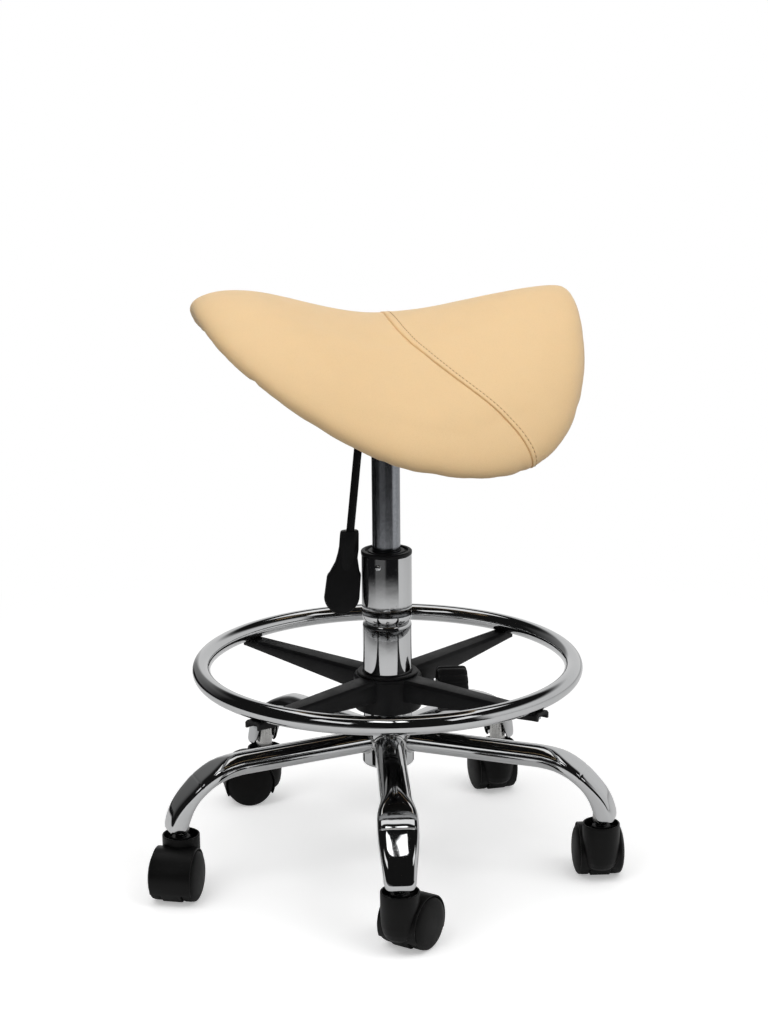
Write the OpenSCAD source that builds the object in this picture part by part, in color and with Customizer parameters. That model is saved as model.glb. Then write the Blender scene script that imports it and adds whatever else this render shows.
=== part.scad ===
// Height-adjustable swivel stool with a saddle seat, a foot ring and five twin-wheel casters.
// Millimetres, +Z up. The origin is on the swivel axis at floor level, and the seat's nose points to -Y.

/* [Saddle seat] */
// Length of the seat, from nose to rear
seat_l = 374; // [340:1:420]
// Half the width of the seat
seat_half_w = 192; // [170:1:210]
// Roundness of the outline seen from above: 2 is an ellipse, more is squarer
outline_power = 2.3; // [2:0.1:3]
// How much wider the rear is than the nose, as a share of the width
pear = 0.1; // [0:0.01:0.2]
// Height of the middle surface of the pad over the swivel axis
seat_mid_z = 544; // [500:1:600]
// Half of the pad's thickness
pad_half_t = 20; // [16:1:26]
// Rise of the nose above the dip
nose_rise = 30; // [10:1:40]
// Distance from the dip to the top of the nose
nose_reach = 168; // [140:1:200]
// Rise of the rear above the dip
rear_rise = 22; // [10:1:40]
// Distance from the dip to the top of the rear
rear_reach = 190; // [150:1:220]
// Drop of the flanks below the ridge, at the middle of the seat
flank_drop = 99; // [70:1:130]
// How sharply the flanks turn down: 2 is a parabola
flank_power = 1.63; // [1.3:0.01:2.2]
// Angle that the cover's seam sweeps back, from the ridge to the edge
seam_sweep = 28.5; // [0:0.5:45]

/* [Gas column] */
// Outer radius of the upper column tube
tube_r = 25; // [23:0.1:27]
// Outer radius of the lower column tube, which the foot ring slides on
slide_r = 24.4; // [22:0.1:26]
// Height of the top of the steel tube
tube_top_z = 323.5; // [300:1:340]
// Height of the shoulder between the two tube sizes
shoulder_z = 256; // [250:1:270]
// Radius of the sliding pressure tube
gas_r = 14; // [13.8:0.1:14.2]
// Radius of the piston rod
rod_r = 5; // [4:0.5:6]

/* [Foot ring] */
// Radius of the ring's centre line
ring_r = 186; // [160:1:200]
// Radius of the ring's tube
ring_tube_r = 9; // [8:0.5:11]
// Height of the ring's centre line
ring_z = 209; // [200:1:220]
// Turn of the first spoke, from +X
spoke_turn = 37; // [0:1:89]
// Radius of the spider's hub
spider_hub_r = 34; // [32:1:38]

/* [Base] */
// Radius of the circle that the casters stand on
stem_circle_r = 218.5; // [200:0.5:230]
// Turn of the first leg, from +X
base_turn = -9.5; // [-36:0.5:36]
// Radius of a leg's tube
leg_tube_r = 13.5; // [12:0.5:14]
// Height at which a leg's centre line would meet the swivel axis
leg_z = 132; // [128:0.5:134]
// Slope of a leg down from the hub
leg_slope = 2.5; // [0:0.5:4]

/* [Casters] */
// Radius of a caster wheel
wheel_r = 25; // [24:0.5:26]
// Distance from the stem's axis to the wheels' axle
trail = 19; // [17:0.5:20]
// Direction that each caster trails in, from +X
caster_turns = [135, 171, 182, 269, -23];

/* [Lever] */
// Radius of the lever's rod
lever_r = 4; // [3.5:0.1:4.2]
// Lean of the hanging rod, away from the column
lever_lean = 6.1; // [5:0.1:8]

/* [Hidden] */

$fn = 64;
eps = 0.01;                 // overshoot of a cutting tool
running = 0.06;             // radial clearance of a shaft that turns or slides
fixed = 0.02;               // gap between two pieces fastened together

// Gas spring
rod_bottom_z = 108;
floor_z = 110;              // underside of the column tube's floor
floor_t = 4;
bearing_z = floor_z + floor_t + 0.1;
bearing_t = 6;
bumper_z = bearing_z + bearing_t;
bumper_t = 12;
gas_bottom_z = 190;
gas_wall = 1.5;
guide_t = 16;
piston_z = 310;
piston_t = 12;
taper_z = 428;              // where the pressure tube's cone begins
gas_top_z = 476;
cone_top_r = gas_r - 1.2;
valve_r = 11;
valve_z = 436;
pin_r = 3;
pin_top_z = 480;
bushing_t = 3.8;

// Seat mechanism
plate_z = 494;
plate_t = 3;
plate_w = 130;
plate_l = 120;
socket_r = 17.5;
bolt_x = 50;
bolt_y = 45;
bolt_r = 3;
block_w = 124;
block_l = 118;
block_z = plate_z + plate_t;
nut_z = block_z + 5;

// Lever
arm_z = pin_top_z + 0.4 + lever_r;
pivot_y = -15;
pivot_r = 1.8;
elbow_y = -21.6;
hang_l = 164;

// Foot ring
liner_r = 28;
liner_bottom_z = 164;
spider_bottom_z = 165;
spider_top_z = 200.5;
spoke_end_r = 194;
spoke_wall = 2.5;            // a spoke is a channel, open underneath
ring_wall = 1.5;
screw_r = 2.5;
clamp_turn = spoke_turn + 45;
clamp_z = 181;
shoe_r = 5;
shoe_t = 3;
stud_r = 4;
knob_start = 50;
knob_l = 30;
knob_r = 22.5;

// Base
hub_r = 26;
hub_bottom_z = 106;
hub_top_z = 146;
leg_wall = 2;
leg_bend_at = 150;
leg_bend_r = 74;
leg_end_z = 63;
sleeve_r = 8.5;
sleeve_top_z = 85;

// Casters
stem_r = 5.5;
cap_z = 61;
boss_r = 18.5;
hood_half_w = 20.5;
hood_r = 27.5;
cavity_r = 26;
web_half_w = 10;
wheel_inner = 10.6;
tread_half_w = 20.3;
dome_half_w = 26.1;
dome_rise = dome_half_w - tread_half_w + 1;
axle_r = 3;

// ---------- Saddle surface ----------
// x is across the seat and y along it, with the rear at +y.

// x to the given power, keeping its sign
function spow(v, p) = sign(v) * pow(abs(v), p);

// One point of the outline, where turn 0 is the rear and 180 the nose
function outline(turn) = [
    seat_half_w * spow(sin(turn), 2 / outline_power) * (1 + pear * cos(turn)),
    seat_l / 2 * spow(cos(turn), 2 / outline_power)
];

// A smooth rise that is 0 at the dip and 1 at the given reach
function swell(d, reach) = pow(sin(90 * min(max(0, d) / reach, 1.5)), 2);

// Drop of the flanks at full width, for a place along the seat
function drop_at(y) = flank_drop + 30 * y / 200 + 48 * pow(y / 200, 2);

// Height of the pad's middle surface
function mid_z(x, y) = seat_mid_z + nose_rise * swell(-y, nose_reach)
    + rear_rise * swell(y, rear_reach)
    - drop_at(y) * pow(sqrt(x * x + 9) / seat_half_w, flank_power);

// Unit normal of the middle surface
function mid_normal(x, y) =
    let (n = [mid_z(x - 1, y) - mid_z(x + 1, y), mid_z(x, y - 1) - mid_z(x, y + 1), 2])
    n / norm(n);

// Share of the full thickness left at a place between the middle (0) and the rim (1). The rear edge
// is squarer than the flanks and the nose.
function rim_round(rho, turn) =
    pow(max(0, 1 - pow(rho, 7 + 11 * pow(max(0, cos(turn)), 3))), 1 / 2.2);

// Where the seam crosses the ridge
seam_mid_y = 0;

// A point of the pad. rho runs from the seam's middle (0) to the rim (1), and turn 90 and 270 are the
// seam. half_t is the half thickness there, positive on top and negative underneath. inset is how far
// inside the cover's outer face the point lies.
function pad_point(rho, turn, half_t, inset = 0) =
    let (
        swept = turn - seam_sweep * pow(sin(90 * rho), 2) * sin(turn),
        edge = outline(swept),
        shrink = rho * (1 - inset / seat_half_w),
        x = shrink * edge[0],
        y = seam_mid_y + shrink * (edge[1] - seam_mid_y)
    )
    [x, y, mid_z(x, y)] + half_t * rim_round(rho, turn) * mid_normal(x, y);

// Rings of points along a path of [rho, half_t] pairs
function pad_rings(path, turns, inset) =
    [for (step = path) [for (turn = turns) pad_point(step[0], turn, step[1], inset)]];

// Faces between ring i and ring i + 1 of m points, open or closed round the seam
function band_faces(i, m, start, closed) =
    [for (j = [0:(closed ? m - 1 : m - 2)])
        let (k = (j + 1) % m, a = start + i * m, b = a + m)
        each [[a + j, b + j, b + k], [a + j, b + k, a + k]]];

function flipped(faces) = [for (f = faces) [f[2], f[1], f[0]]];

// Turns of one half of the pad, from just past one end of the seam to just before the other
seam_gap = 0.35;                         // half of the seam's width, in degrees
half_steps = 22;
function half_turns(first_turn) =
    [for (j = [0:half_steps]) first_turn + seam_gap + (180 - 2 * seam_gap) * j / half_steps];

// A closed body of rings between an upper and a lower pole
module pad_body(path, inset) {
    turns = concat(half_turns(90), half_turns(-90));
    steps = len(turns);
    rings = pad_rings(path, turns, inset);
    n = len(path);
    top = n * steps;
    points = concat(
        [for (ring = rings) each ring],
        [pad_point(0, 0, path[0][1], inset), pad_point(0, 0, path[n - 1][1], inset)]
    );
    faces = concat(
        [for (i = [0:n - 2]) each band_faces(i, steps, 0, true)],
        [for (j = [0:steps - 1]) [top, j, (j + 1) % steps]],
        [for (j = [0:steps - 1]) [top + 1, (n - 1) * steps + (j + 1) % steps, (n - 1) * steps + j]]
    );
    polyhedron(points, faces, convexity = 6);
}

// A thin skin over half of the pad, from its pole on the ridge, round the rim and under it
cover_t = 1.2;
upper_steps = [0.2, 0.4, 0.6, 0.75, 0.86, 0.93, 0.97, 0.99];
lower_steps = [0.99, 0.97, 0.93, 0.88];
cover_path = [
    for (rho = upper_steps) [rho, pad_half_t],
    [1, 0],
    for (rho = lower_steps) [rho, -pad_half_t]
];
module cover(first_turn) {
    turns = half_turns(first_turn);
    m = len(turns);
    n = len(cover_path);
    outer = pad_rings(cover_path, turns, 0);
    inner_path = [for (step = cover_path) [step[0], step[1] - sign(step[1]) * cover_t]];
    inner = pad_rings(inner_path, turns, cover_t);
    inner_start = n * m;
    pole = 2 * n * m;
    points = concat(
        [for (ring = outer) each ring],
        [for (ring = inner) each ring],
        [pad_point(0, first_turn + 90, pad_half_t), pad_point(0, first_turn + 90, pad_half_t - cover_t)]
    );
    faces = concat(
        [for (i = [0:n - 2]) each band_faces(i, m, 0, false)],
        [for (i = [0:n - 2]) each flipped(band_faces(i, m, inner_start, false))],
        [for (j = [0:m - 2]) [pole, j, j + 1]],
        [for (j = [0:m - 2]) [pole + 1, inner_start + j + 1, inner_start + j]],
        // the two seam edges
        [for (i = [0:n - 2]) each [
            [i * m, inner_start + i * m, inner_start + (i + 1) * m],
            [i * m, inner_start + (i + 1) * m, (i + 1) * m],
            [i * m + m - 1, (i + 1) * m + m - 1, inner_start + (i + 1) * m + m - 1],
            [i * m + m - 1, inner_start + (i + 1) * m + m - 1, inner_start + i * m + m - 1]
        ]],
        [[pole, pole + 1, inner_start], [pole, inner_start, 0]],
        [[pole, m - 1, inner_start + m - 1], [pole, inner_start + m - 1, pole + 1]],
        // the hem under the rim
        [for (j = [0:m - 2]) let (a = (n - 1) * m + j, b = inner_start + a) each [
            [a, b, b + 1],
            [a, b + 1, a + 1]
        ]]
    );
    polyhedron(points, faces, convexity = 6);
}

// ---------- Seat ----------
board_half_t = pad_half_t - 1.6;
board_top = pad_half_t - 8;
foam_inset = 1.5;
board_steps = [0.88, 0.75, 0.6, 0.4, 0.2];
foam_half_t = pad_half_t - foam_inset;

module front_cover() color("burlywood") cover(90);
module rear_cover() color("burlywood") cover(-90);

module seat_foam() color("khaki")
    pad_body([
        for (rho = upper_steps) [rho, foam_half_t],
        [1, 0],
        for (rho = [0.99, 0.97, 0.93]) [rho, -foam_half_t],
        [0.9, -board_top],
        for (rho = board_steps) [rho, -board_top]
    ], foam_inset);

module seat_board() color("dimgray")
    pad_body([
        for (j = [4:-1:0]) [board_steps[j], -board_top - 0.8],
        for (rho = board_steps) [rho, -board_half_t]
    ], foam_inset);

// A plate with rounded corners, standing on z = 0
module rounded_plate(w, l, t, r) {
    translate([-w / 2 + r, -l / 2, 0]) cube([w - 2 * r, l, t]);
    translate([-w / 2, -l / 2 + r, 0]) cube([w, l - 2 * r, t]);
    for (sx = [-1, 1], sy = [-1, 1])
        translate([sx * (w / 2 - r), sy * (l / 2 - r), 0]) cylinder(h = t, r = r);
}

// Its children at the four corners of the bolt pattern
module at_bolts() {
    for (sx = [-1, 1], sy = [-1, 1]) translate([sx * bolt_x, sy * bolt_y, 0]) children();
}

module seat_plate() color("dimgray")
    difference() {
        translate([0, 0, plate_z]) rounded_plate(plate_w, plate_l, plate_t, 12);
        at_bolts() translate([0, 0, plate_z - 1]) cylinder(h = plate_t + 2, r = bolt_r + 0.3);
    }

module seat_bolts() color("silver")
    at_bolts() {
        translate([0, 0, plate_z - 4]) cylinder(h = 4, r = 5.6, $fn = 6);
        translate([0, 0, plate_z - 0.5]) cylinder(h = 14, r = bolt_r);
    }

module t_nuts() color("gold")
    at_bolts() difference() {
        union() {
            translate([0, 0, nut_z]) cylinder(h = 7, r = 4.5);
            translate([0, 0, nut_z + 7]) cylinder(h = 1.2, r = 8);
        }
        translate([0, 0, nut_z - 1]) cylinder(h = 12, r = bolt_r + fixed);
    }

// Half profile of the block's crowned top, which lies along the board
block_crown = [for (x = [-block_w / 2:block_w / 16:block_w / 2]) [x, mid_z(x, 0) - pad_half_t - 1]];
module mount_block() color("tan")
    difference() {
        translate([0, block_l / 2, 0]) rotate([90, 0, 0]) linear_extrude(block_l)
            polygon(concat([[block_w / 2, block_z], [-block_w / 2, block_z]], block_crown));
        at_bolts() {
            translate([0, 0, block_z - 1]) cylinder(h = 30, r = 4.5 + fixed);
            translate([0, 0, nut_z + 7 - fixed]) cylinder(h = 30, r = 8 + fixed);
        }
    }

module seat_socket() color("dimgray")
    difference() {
        rotate_extrude() polygon([
            [gas_r + fixed, taper_z - 2], [socket_r, taper_z - 2], [socket_r, plate_z],
            [gas_r, plate_z], [gas_r, gas_top_z + 2], [cone_top_r + fixed, gas_top_z + 2],
            [cone_top_r + fixed, gas_top_z], [gas_r + fixed, taper_z]
        ]);
        translate([-lever_r - 0.6, -socket_r - 1, gas_top_z + 2.2]) cube([2 * lever_r + 1.2, 8, 13]);
        translate([0, pivot_y, arm_z]) rotate([0, 90, 0]) cylinder(h = 40, r = pivot_r, center = true);
    }

module lever_pivot() color("silver")
    translate([0, pivot_y, arm_z]) rotate([0, 90, 0]) cylinder(h = 18, r = pivot_r, center = true);

// ---------- Lever ----------
// A bar down the hanging rod's centre line, from the elbow to the rod's lower end
module along_hang(r) {
    translate([0, elbow_y, arm_z]) rotate([-lever_lean, 0, 0]) translate([0, 0, -hang_l])
        cylinder(h = hang_l, r = r);
}

module lever_rod() color("black")
    difference() {
        union() {
            translate([0, 5, arm_z]) rotate([90, 0, 0]) cylinder(h = 5 - elbow_y, r = lever_r);
            translate([0, elbow_y, arm_z]) sphere(r = lever_r + 0.2);
            along_hang(lever_r);
        }
        translate([0, pivot_y, arm_z]) rotate([0, 90, 0])
            cylinder(h = 20, r = pivot_r + running, center = true);
    }

// Points of an arc in the plane, counted from one angle to another
function arc(centre, r, from, to, steps = 8) =
    [for (k = [0:steps]) let (a = from + (to - from) * k / steps) centre + r * [cos(a), sin(a)]];

// The paddle's flat outline: y across it, z along it
paddle_outline = concat(
    [[-45.8, 349], [-27.8, 349], [-28.2, 330], [-29.4, 321]],
    arc([-34.2, 303], 8, 35, 0, 3),
    arc([-45.5, 282.3], 17.7, 0, -180, 18),
    arc([-51.4, 301], 9, 180, 130, 4),
    [[-50.2, 317], [-47.4, 323], [-46.5, 330]]
);
module lever_paddle() color("black")
    difference() {
        intersection() {
            rotate([90, 0, 90]) linear_extrude(20, center = true) polygon(paddle_outline);
            union() {
                translate([-4, -80, 255]) cube([8, 70, 100]);
                translate([-6.5, -80, 315]) cube([13, 70, 40]);
            }
        }
        along_hang(lever_r + fixed);
    }

// ---------- Gas spring ----------
module pressure_tube() color("slategray")
    rotate_extrude() polygon([
        [gas_r - gas_wall, gas_bottom_z], [gas_r, gas_bottom_z], [gas_r, taper_z],
        [cone_top_r, gas_top_z], [valve_r, gas_top_z], [valve_r, valve_z],
        [gas_r - gas_wall, valve_z - 6]
    ]);

module rod_guide() color("black")
    rotate_extrude() polygon([
        [rod_r + running, gas_bottom_z], [gas_r - gas_wall - fixed, gas_bottom_z],
        [gas_r - gas_wall - fixed, gas_bottom_z + guide_t], [rod_r + running, gas_bottom_z + guide_t]
    ]);

module valve_body() color("gold")
    rotate_extrude() polygon([
        [pin_r + running, valve_z], [valve_r - fixed, valve_z],
        [valve_r - fixed, gas_top_z - 2], [pin_r + running, gas_top_z - 2]
    ]);

module valve_pin() color("silver")
    translate([0, 0, valve_z + 10]) cylinder(h = pin_top_z - valve_z - 10, r = pin_r);

module piston_rod() color("silver")
    difference() {
        translate([0, 0, rod_bottom_z]) cylinder(h = piston_z + piston_t + 2 - rod_bottom_z, r = rod_r);
        translate([0, 0, rod_bottom_z + 0.6]) difference() {
            cylinder(h = 1.2, r = rod_r + 1);
            translate([0, 0, -1]) cylinder(h = 4, r = rod_r - 1);
        }
    }

// A ring round the swivel axis
module washer(z, t, inner, outer) {
    translate([0, 0, z]) difference() {
        cylinder(h = t, r = outer);
        translate([0, 0, -1]) cylinder(h = t + 2, r = inner);
    }
}

module piston() color("black") washer(piston_z, piston_t, rod_r + fixed, gas_r - gas_wall - running);
module thrust_bearing() color("silver") washer(bearing_z, bearing_t, rod_r + fixed, 14);
module rubber_bumper() color("black") washer(bumper_z + fixed, bumper_t, rod_r + fixed, 12.5);
module base_clip() color("silver") washer(rod_bottom_z + 0.7, 1, rod_r - 0.9, 9);

module column_tube() color("gainsboro")
    difference() {
        rotate_extrude() polygon(concat(
            [[rod_r + running, floor_z], [21.8, floor_z], [slide_r, 149], [slide_r, shoulder_z - 6]],
            [for (a = [15:15:90]) [slide_r - 2.2 * (1 - cos(a)), shoulder_z - 6 + 4 * sin(a)]],
            [for (a = [90:-15:0]) [tube_r - 2.8 + 2.8 * cos(a), shoulder_z + 7 - 7 * sin(a)]],
            [[tube_r, tube_top_z], [23, tube_top_z], [23, shoulder_z + 6], [19.8, shoulder_z + 6]],
            [[19.8, floor_z + floor_t], [rod_r + running, floor_z + floor_t]]
        ));
        at_rivet(22) cylinder(h = 5, r = rivet_r + fixed);
    }

module top_bushing() color("black")
    rotate_extrude() polygon([
        [gas_r + running, shoulder_z + 8], [23 - fixed, shoulder_z + 8], [23 - fixed, tube_top_z],
        [tube_r, tube_top_z], [tube_r, tube_top_z + bushing_t - 1],
        [tube_r - 1, tube_top_z + bushing_t], [gas_r + 3, tube_top_z + bushing_t],
        [gas_r + running, tube_top_z + bushing_t - 2]
    ]);

// The rivet that marks the crimp round the bushing
rivet_r = 1.4;
module at_rivet(from) {
    rotate([0, 0, -32]) translate([from, 0, 314.6]) rotate([0, 90, 0]) children();
}
module tube_rivet() color("silver")
    at_rivet(tube_r + fixed) rotate_extrude()
        polygon([[0, -1.9], [rivet_r, -1.9], [rivet_r, 0], [3, 0], [3, 0.4], [2, 1.1], [0, 1.3]]);

// ---------- Foot ring ----------
// Its children on each spoke's centre line, which runs along +X
module at_spokes() {
    for (k = [0:3]) rotate([0, 0, spoke_turn + 90 * k]) children();
}

module ring_liner() color("black")
    rotate_extrude() polygon([
        [slide_r + running, liner_bottom_z], [liner_r, liner_bottom_z], [liner_r, spider_top_z + 0.2],
        [30.5, spider_top_z + 0.2], [30.5, spider_top_z + 1.4], [29.5, spider_top_z + 2.2],
        [slide_r + 1, spider_top_z + 2.2], [slide_r + running, spider_top_z + 1.4]
    ]);

// Section of a spoke at one distance from the axis: upright sides and a bevelled flat top
function spoke_section(r, half_w, bottom_z, bevel) = [
    [r, -half_w, bottom_z], [r, half_w, bottom_z],
    [r, half_w, spider_top_z - bevel], [r, half_w - bevel, spider_top_z],
    [r, -half_w + bevel, spider_top_z], [r, -half_w, spider_top_z - bevel]
];
// Section of the hollow under a spoke
function hollow_section(r, half_w) = [
    [r, -half_w, 160], [r, half_w, 160], [r, half_w, spider_top_z - 3.4], [r, -half_w, spider_top_z - 3.4]
];
// A straight body between two sections of m points each
module between(near, far, m) {
    sides = [for (j = [0:m - 1]) let (k = (j + 1) % m) [j + m, k + m, k, j]];
    ends = [[for (j = [0:m - 1]) j], [for (j = [m - 1:-1:0]) j + m]];
    polyhedron(concat(near, far), concat(sides, ends));
}
module spoke() {
    difference() {
        between(spoke_section(liner_r + 3, 12.5, 178, 3), spoke_section(spoke_end_r, 8.9, 192.8, 2.4), 6);
        between(hollow_section(36, 12.4 - spoke_wall), hollow_section(spoke_end_r + 10, 8.7 - spoke_wall), 4);
    }
    // the seat of the ring's screw
    translate([ring_r, 0, 195]) cylinder(h = spider_top_z - 196, r = 5.5);
}

// A bar along the clamp's screw axis, between two distances from the swivel axis
module along_clamp(from, to, r) {
    rotate([0, 0, clamp_turn]) translate([from, 0, clamp_z]) rotate([0, 90, 0])
        cylinder(h = to - from, r = r);
}

module spider() color([0.1, 0.1, 0.1])
    difference() {
        union() {
            translate([0, 0, spider_bottom_z])
                cylinder(h = spider_top_z - spider_bottom_z - 2, r = spider_hub_r);
            translate([0, 0, spider_top_z - 2])
                cylinder(h = 2, r1 = spider_hub_r, r2 = spider_hub_r - 2);
            at_spokes() spoke();
            along_clamp(30, 47, 11);
        }
        translate([0, 0, spider_bottom_z - 1]) cylinder(h = 60, r = liner_r + running);
        translate([0, 0, ring_z]) rotate_extrude(convexity = 4)
            translate([ring_r, 0]) circle(r = ring_tube_r + fixed);
        at_spokes() translate([ring_r, 0, 180]) cylinder(h = 30, r = screw_r + 0.2);
        along_clamp(20, 36, shoe_r + running);
        along_clamp(36 - eps, 60, 6.5 + fixed);
    }

module foot_ring() color("gainsboro")
    difference() {
        translate([0, 0, ring_z]) rotate_extrude(convexity = 4) translate([ring_r, 0]) difference() {
            circle(r = ring_tube_r);
            circle(r = ring_tube_r - ring_wall);
        }
        at_spokes() translate([ring_r, 0, ring_z - ring_tube_r - 1]) cylinder(h = 6, r = screw_r + fixed);
    }

module ring_screws() color("silver")
    at_spokes() translate([ring_r, 0, 0]) {
        translate([0, 0, 192.4]) cylinder(h = 2.58, r = 4.5);
        translate([0, 0, 194]) cylinder(h = 11, r = screw_r);
    }

module clamp_nut() color("gold")
    difference() {
        along_clamp(36.1, 46.8, 6.5);
        along_clamp(30, 50, stud_r + running);
    }

module clamp_shoe() color("gold") along_clamp(liner_r + 0.12, liner_r + 0.12 + shoe_t, shoe_r);

module clamp_stud() color("silver") along_clamp(liner_r + 0.14 + shoe_t, knob_start + 22, stud_r);

module clamp_knob() color("black")
    rotate([0, 0, clamp_turn]) translate([knob_start, 0, clamp_z]) rotate([0, 90, 0]) difference() {
        rotate_extrude() polygon([
            [0, 0], [11, 0], [12, 4], [knob_r - 2, 5], [knob_r, 7], [knob_r, knob_l - 3],
            [knob_r - 3, knob_l], [0, knob_l]
        ]);
        translate([0, 0, -1]) cylinder(h = 23 + fixed, r = stud_r + fixed);
        for (k = [0:11])
            rotate([0, 0, 30 * k]) translate([knob_r + 1.6, 0, 5]) cylinder(h = 40, r = 3.2, $fn = 24);
    }

// ---------- Base ----------
leg_turns = [for (k = [0:4]) base_turn + 72 * k];

module base_hub() color("silver")
    rotate_extrude() polygon([
        [18, hub_bottom_z], [hub_r - 2, hub_bottom_z], [hub_r, hub_bottom_z + 2], [hub_r, hub_top_z - 1],
        [hub_r - 1, hub_top_z], [slide_r + fixed - 2.6 * (149 - hub_top_z) / 39, hub_top_z],
        [21.8 + fixed, floor_z], [21, floor_z - fixed], [18, floor_z - fixed]
    ]);

module leg_wall_section() {
    difference() {
        circle(r = leg_tube_r);
        circle(r = leg_tube_r - leg_wall);
    }
}

// A leg along +X: straight out of the hub, then one bend down to the caster
module leg_sweep() {
    translate([0, 0, leg_z]) rotate([0, leg_slope, 0]) {
        translate([hub_r - 6, 0, 0]) rotate([90, 0, 90])
            linear_extrude(leg_bend_at - hub_r + 6, convexity = 4) leg_wall_section();
        translate([leg_bend_at, 0, -leg_bend_r]) rotate([90, 0, 0])
            rotate_extrude(angle = 90, convexity = 4) translate([leg_bend_r, 0]) leg_wall_section();
    }
}

module leg(k) color("gainsboro")
    rotate([0, 0, leg_turns[k]]) difference() {
        leg_sweep();
        cylinder(h = 400, r = hub_r + fixed, center = true);
        // the end is cut level, and open on the inside for the caster's socket
        translate([leg_bend_at, -30, 0]) cube([100, 60, leg_end_z]);
        translate([leg_bend_at, -30, 0]) cube([stem_circle_r - 3 - leg_bend_at, 60, 82]);
        translate([stem_circle_r, 0, 40]) cylinder(h = sleeve_top_z - 40 + fixed, r = sleeve_r + fixed);
    }

module stem_sockets() color("silver")
    for (turn = leg_turns) rotate([0, 0, turn]) translate([stem_circle_r, 0, cap_z + 1.3]) difference() {
        cylinder(h = sleeve_top_z - cap_z - 1.3, r = sleeve_r);
        translate([0, 0, -1]) cylinder(h = sleeve_top_z - cap_z - 3.3, r = stem_r + running);
    }

// ---------- Casters ----------
// Its children at caster k, with the stem on z and the axle trailing along +X
module at_caster(k) {
    rotate([0, 0, leg_turns[k]]) translate([stem_circle_r, 0, 0])
        rotate([0, 0, caster_turns[k] - leg_turns[k]]) children();
}

// A drum round the caster's axle, between two distances from its middle
module drum(from, to, r) {
    translate([trail, -from, wheel_r]) rotate([90, 0, 0]) cylinder(h = to - from, r = r);
}

module hood(k) color([0.1, 0.1, 0.1])
    at_caster(k) difference() {
        union() {
            cylinder_boss();
            drum(-hood_half_w, hood_half_w, hood_r);
        }
        for (side = [-1, 1]) scale([1, side, 1]) drum(web_half_w, hood_half_w + 20, cavity_r);
        // open below, where only the web between the wheels reaches down to just above the floor
        translate([-40, -40, -10]) cube([100, 80, 13]);
        for (side = [-1, 1]) scale([1, side, 1]) translate([-40, web_half_w, -10]) cube([100, 40, 23]);
        // the cup round the stem
        translate([0, 0, cap_z - 4]) difference() {
            cylinder(h = 10, r = boss_r - 2);
            translate([0, 0, -1]) cylinder(h = 12, r = 9);
        }
        translate([0, 0, 45]) cylinder(h = 30, r = stem_r + fixed);
        drum(-30, 30, axle_r + fixed);
    }
module cylinder_boss() {
    translate([0, 0, 12]) cylinder(h = cap_z - 13, r = boss_r);
    translate([0, 0, cap_z - 1]) cylinder(h = 1, r1 = boss_r, r2 = boss_r - 1);
}

module pins(k) color("silver")
    at_caster(k) {
        translate([0, 0, 45 + fixed]) cylinder(h = sleeve_top_z - 3.4 - 45, r = stem_r);
        drum(-22, 22, axle_r);
    }

module wheel(k, side) color([0.08, 0.08, 0.08])
    at_caster(k) translate([trail, 0, wheel_r]) rotate([side > 0 ? -90 : 90, 0, 0])
        rotate_extrude() polygon(concat(
            [[axle_r + running, wheel_inner], [wheel_r - 0.8, wheel_inner], [wheel_r, wheel_inner + 0.8],
             [wheel_r, tread_half_w - 1]],
            [for (a = [6:6:90]) [wheel_r * cos(a), tread_half_w - 1 + dome_rise * sin(a)]],
            [[0, 23], [axle_r + running, 23]]
        ));

base_hub();
leg(0);  // leg_1
leg(1);  // leg_2
leg(2);  // leg_3
leg(3);  // leg_4
leg(4);  // leg_5
stem_sockets();
column_tube();
tube_rivet();
top_bushing();
base_clip();
piston_rod();
piston();
thrust_bearing();
rubber_bumper();
pressure_tube();
rod_guide();
valve_body();
valve_pin();
seat_socket();
seat_plate();
seat_bolts();
t_nuts();
mount_block();
seat_board();
seat_foam();
front_cover();
rear_cover();
lever_rod();
lever_paddle();
lever_pivot();
ring_liner();
spider();
foot_ring();
ring_screws();
clamp_nut();
clamp_shoe();
clamp_stud();
clamp_knob();
hood(0);  // caster_1_hood
pins(0);  // caster_1_pins
wheel(0, -1);  // caster_1_wheel_a
wheel(0, 1);  // caster_1_wheel_b
hood(1);  // caster_2_hood
pins(1);  // caster_2_pins
wheel(1, -1);  // caster_2_wheel_a
wheel(1, 1);  // caster_2_wheel_b
hood(2);  // caster_3_hood
pins(2);  // caster_3_pins
wheel(2, -1);  // caster_3_wheel_a
wheel(2, 1);  // caster_3_wheel_b
hood(3);  // caster_4_hood
pins(3);  // caster_4_pins
wheel(3, -1);  // caster_4_wheel_a
wheel(3, 1);  // caster_4_wheel_b
hood(4);  // caster_5_hood
pins(4);  // caster_5_pins
wheel(4, -1);  // caster_5_wheel_a
wheel(4, 1);  // caster_5_wheel_b
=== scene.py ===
import math
import random
from bisect import bisect_left

import bmesh
import bpy
from mathutils import Euler, Matrix, Vector, noise
from mathutils.bvhtree import BVHTree


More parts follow.
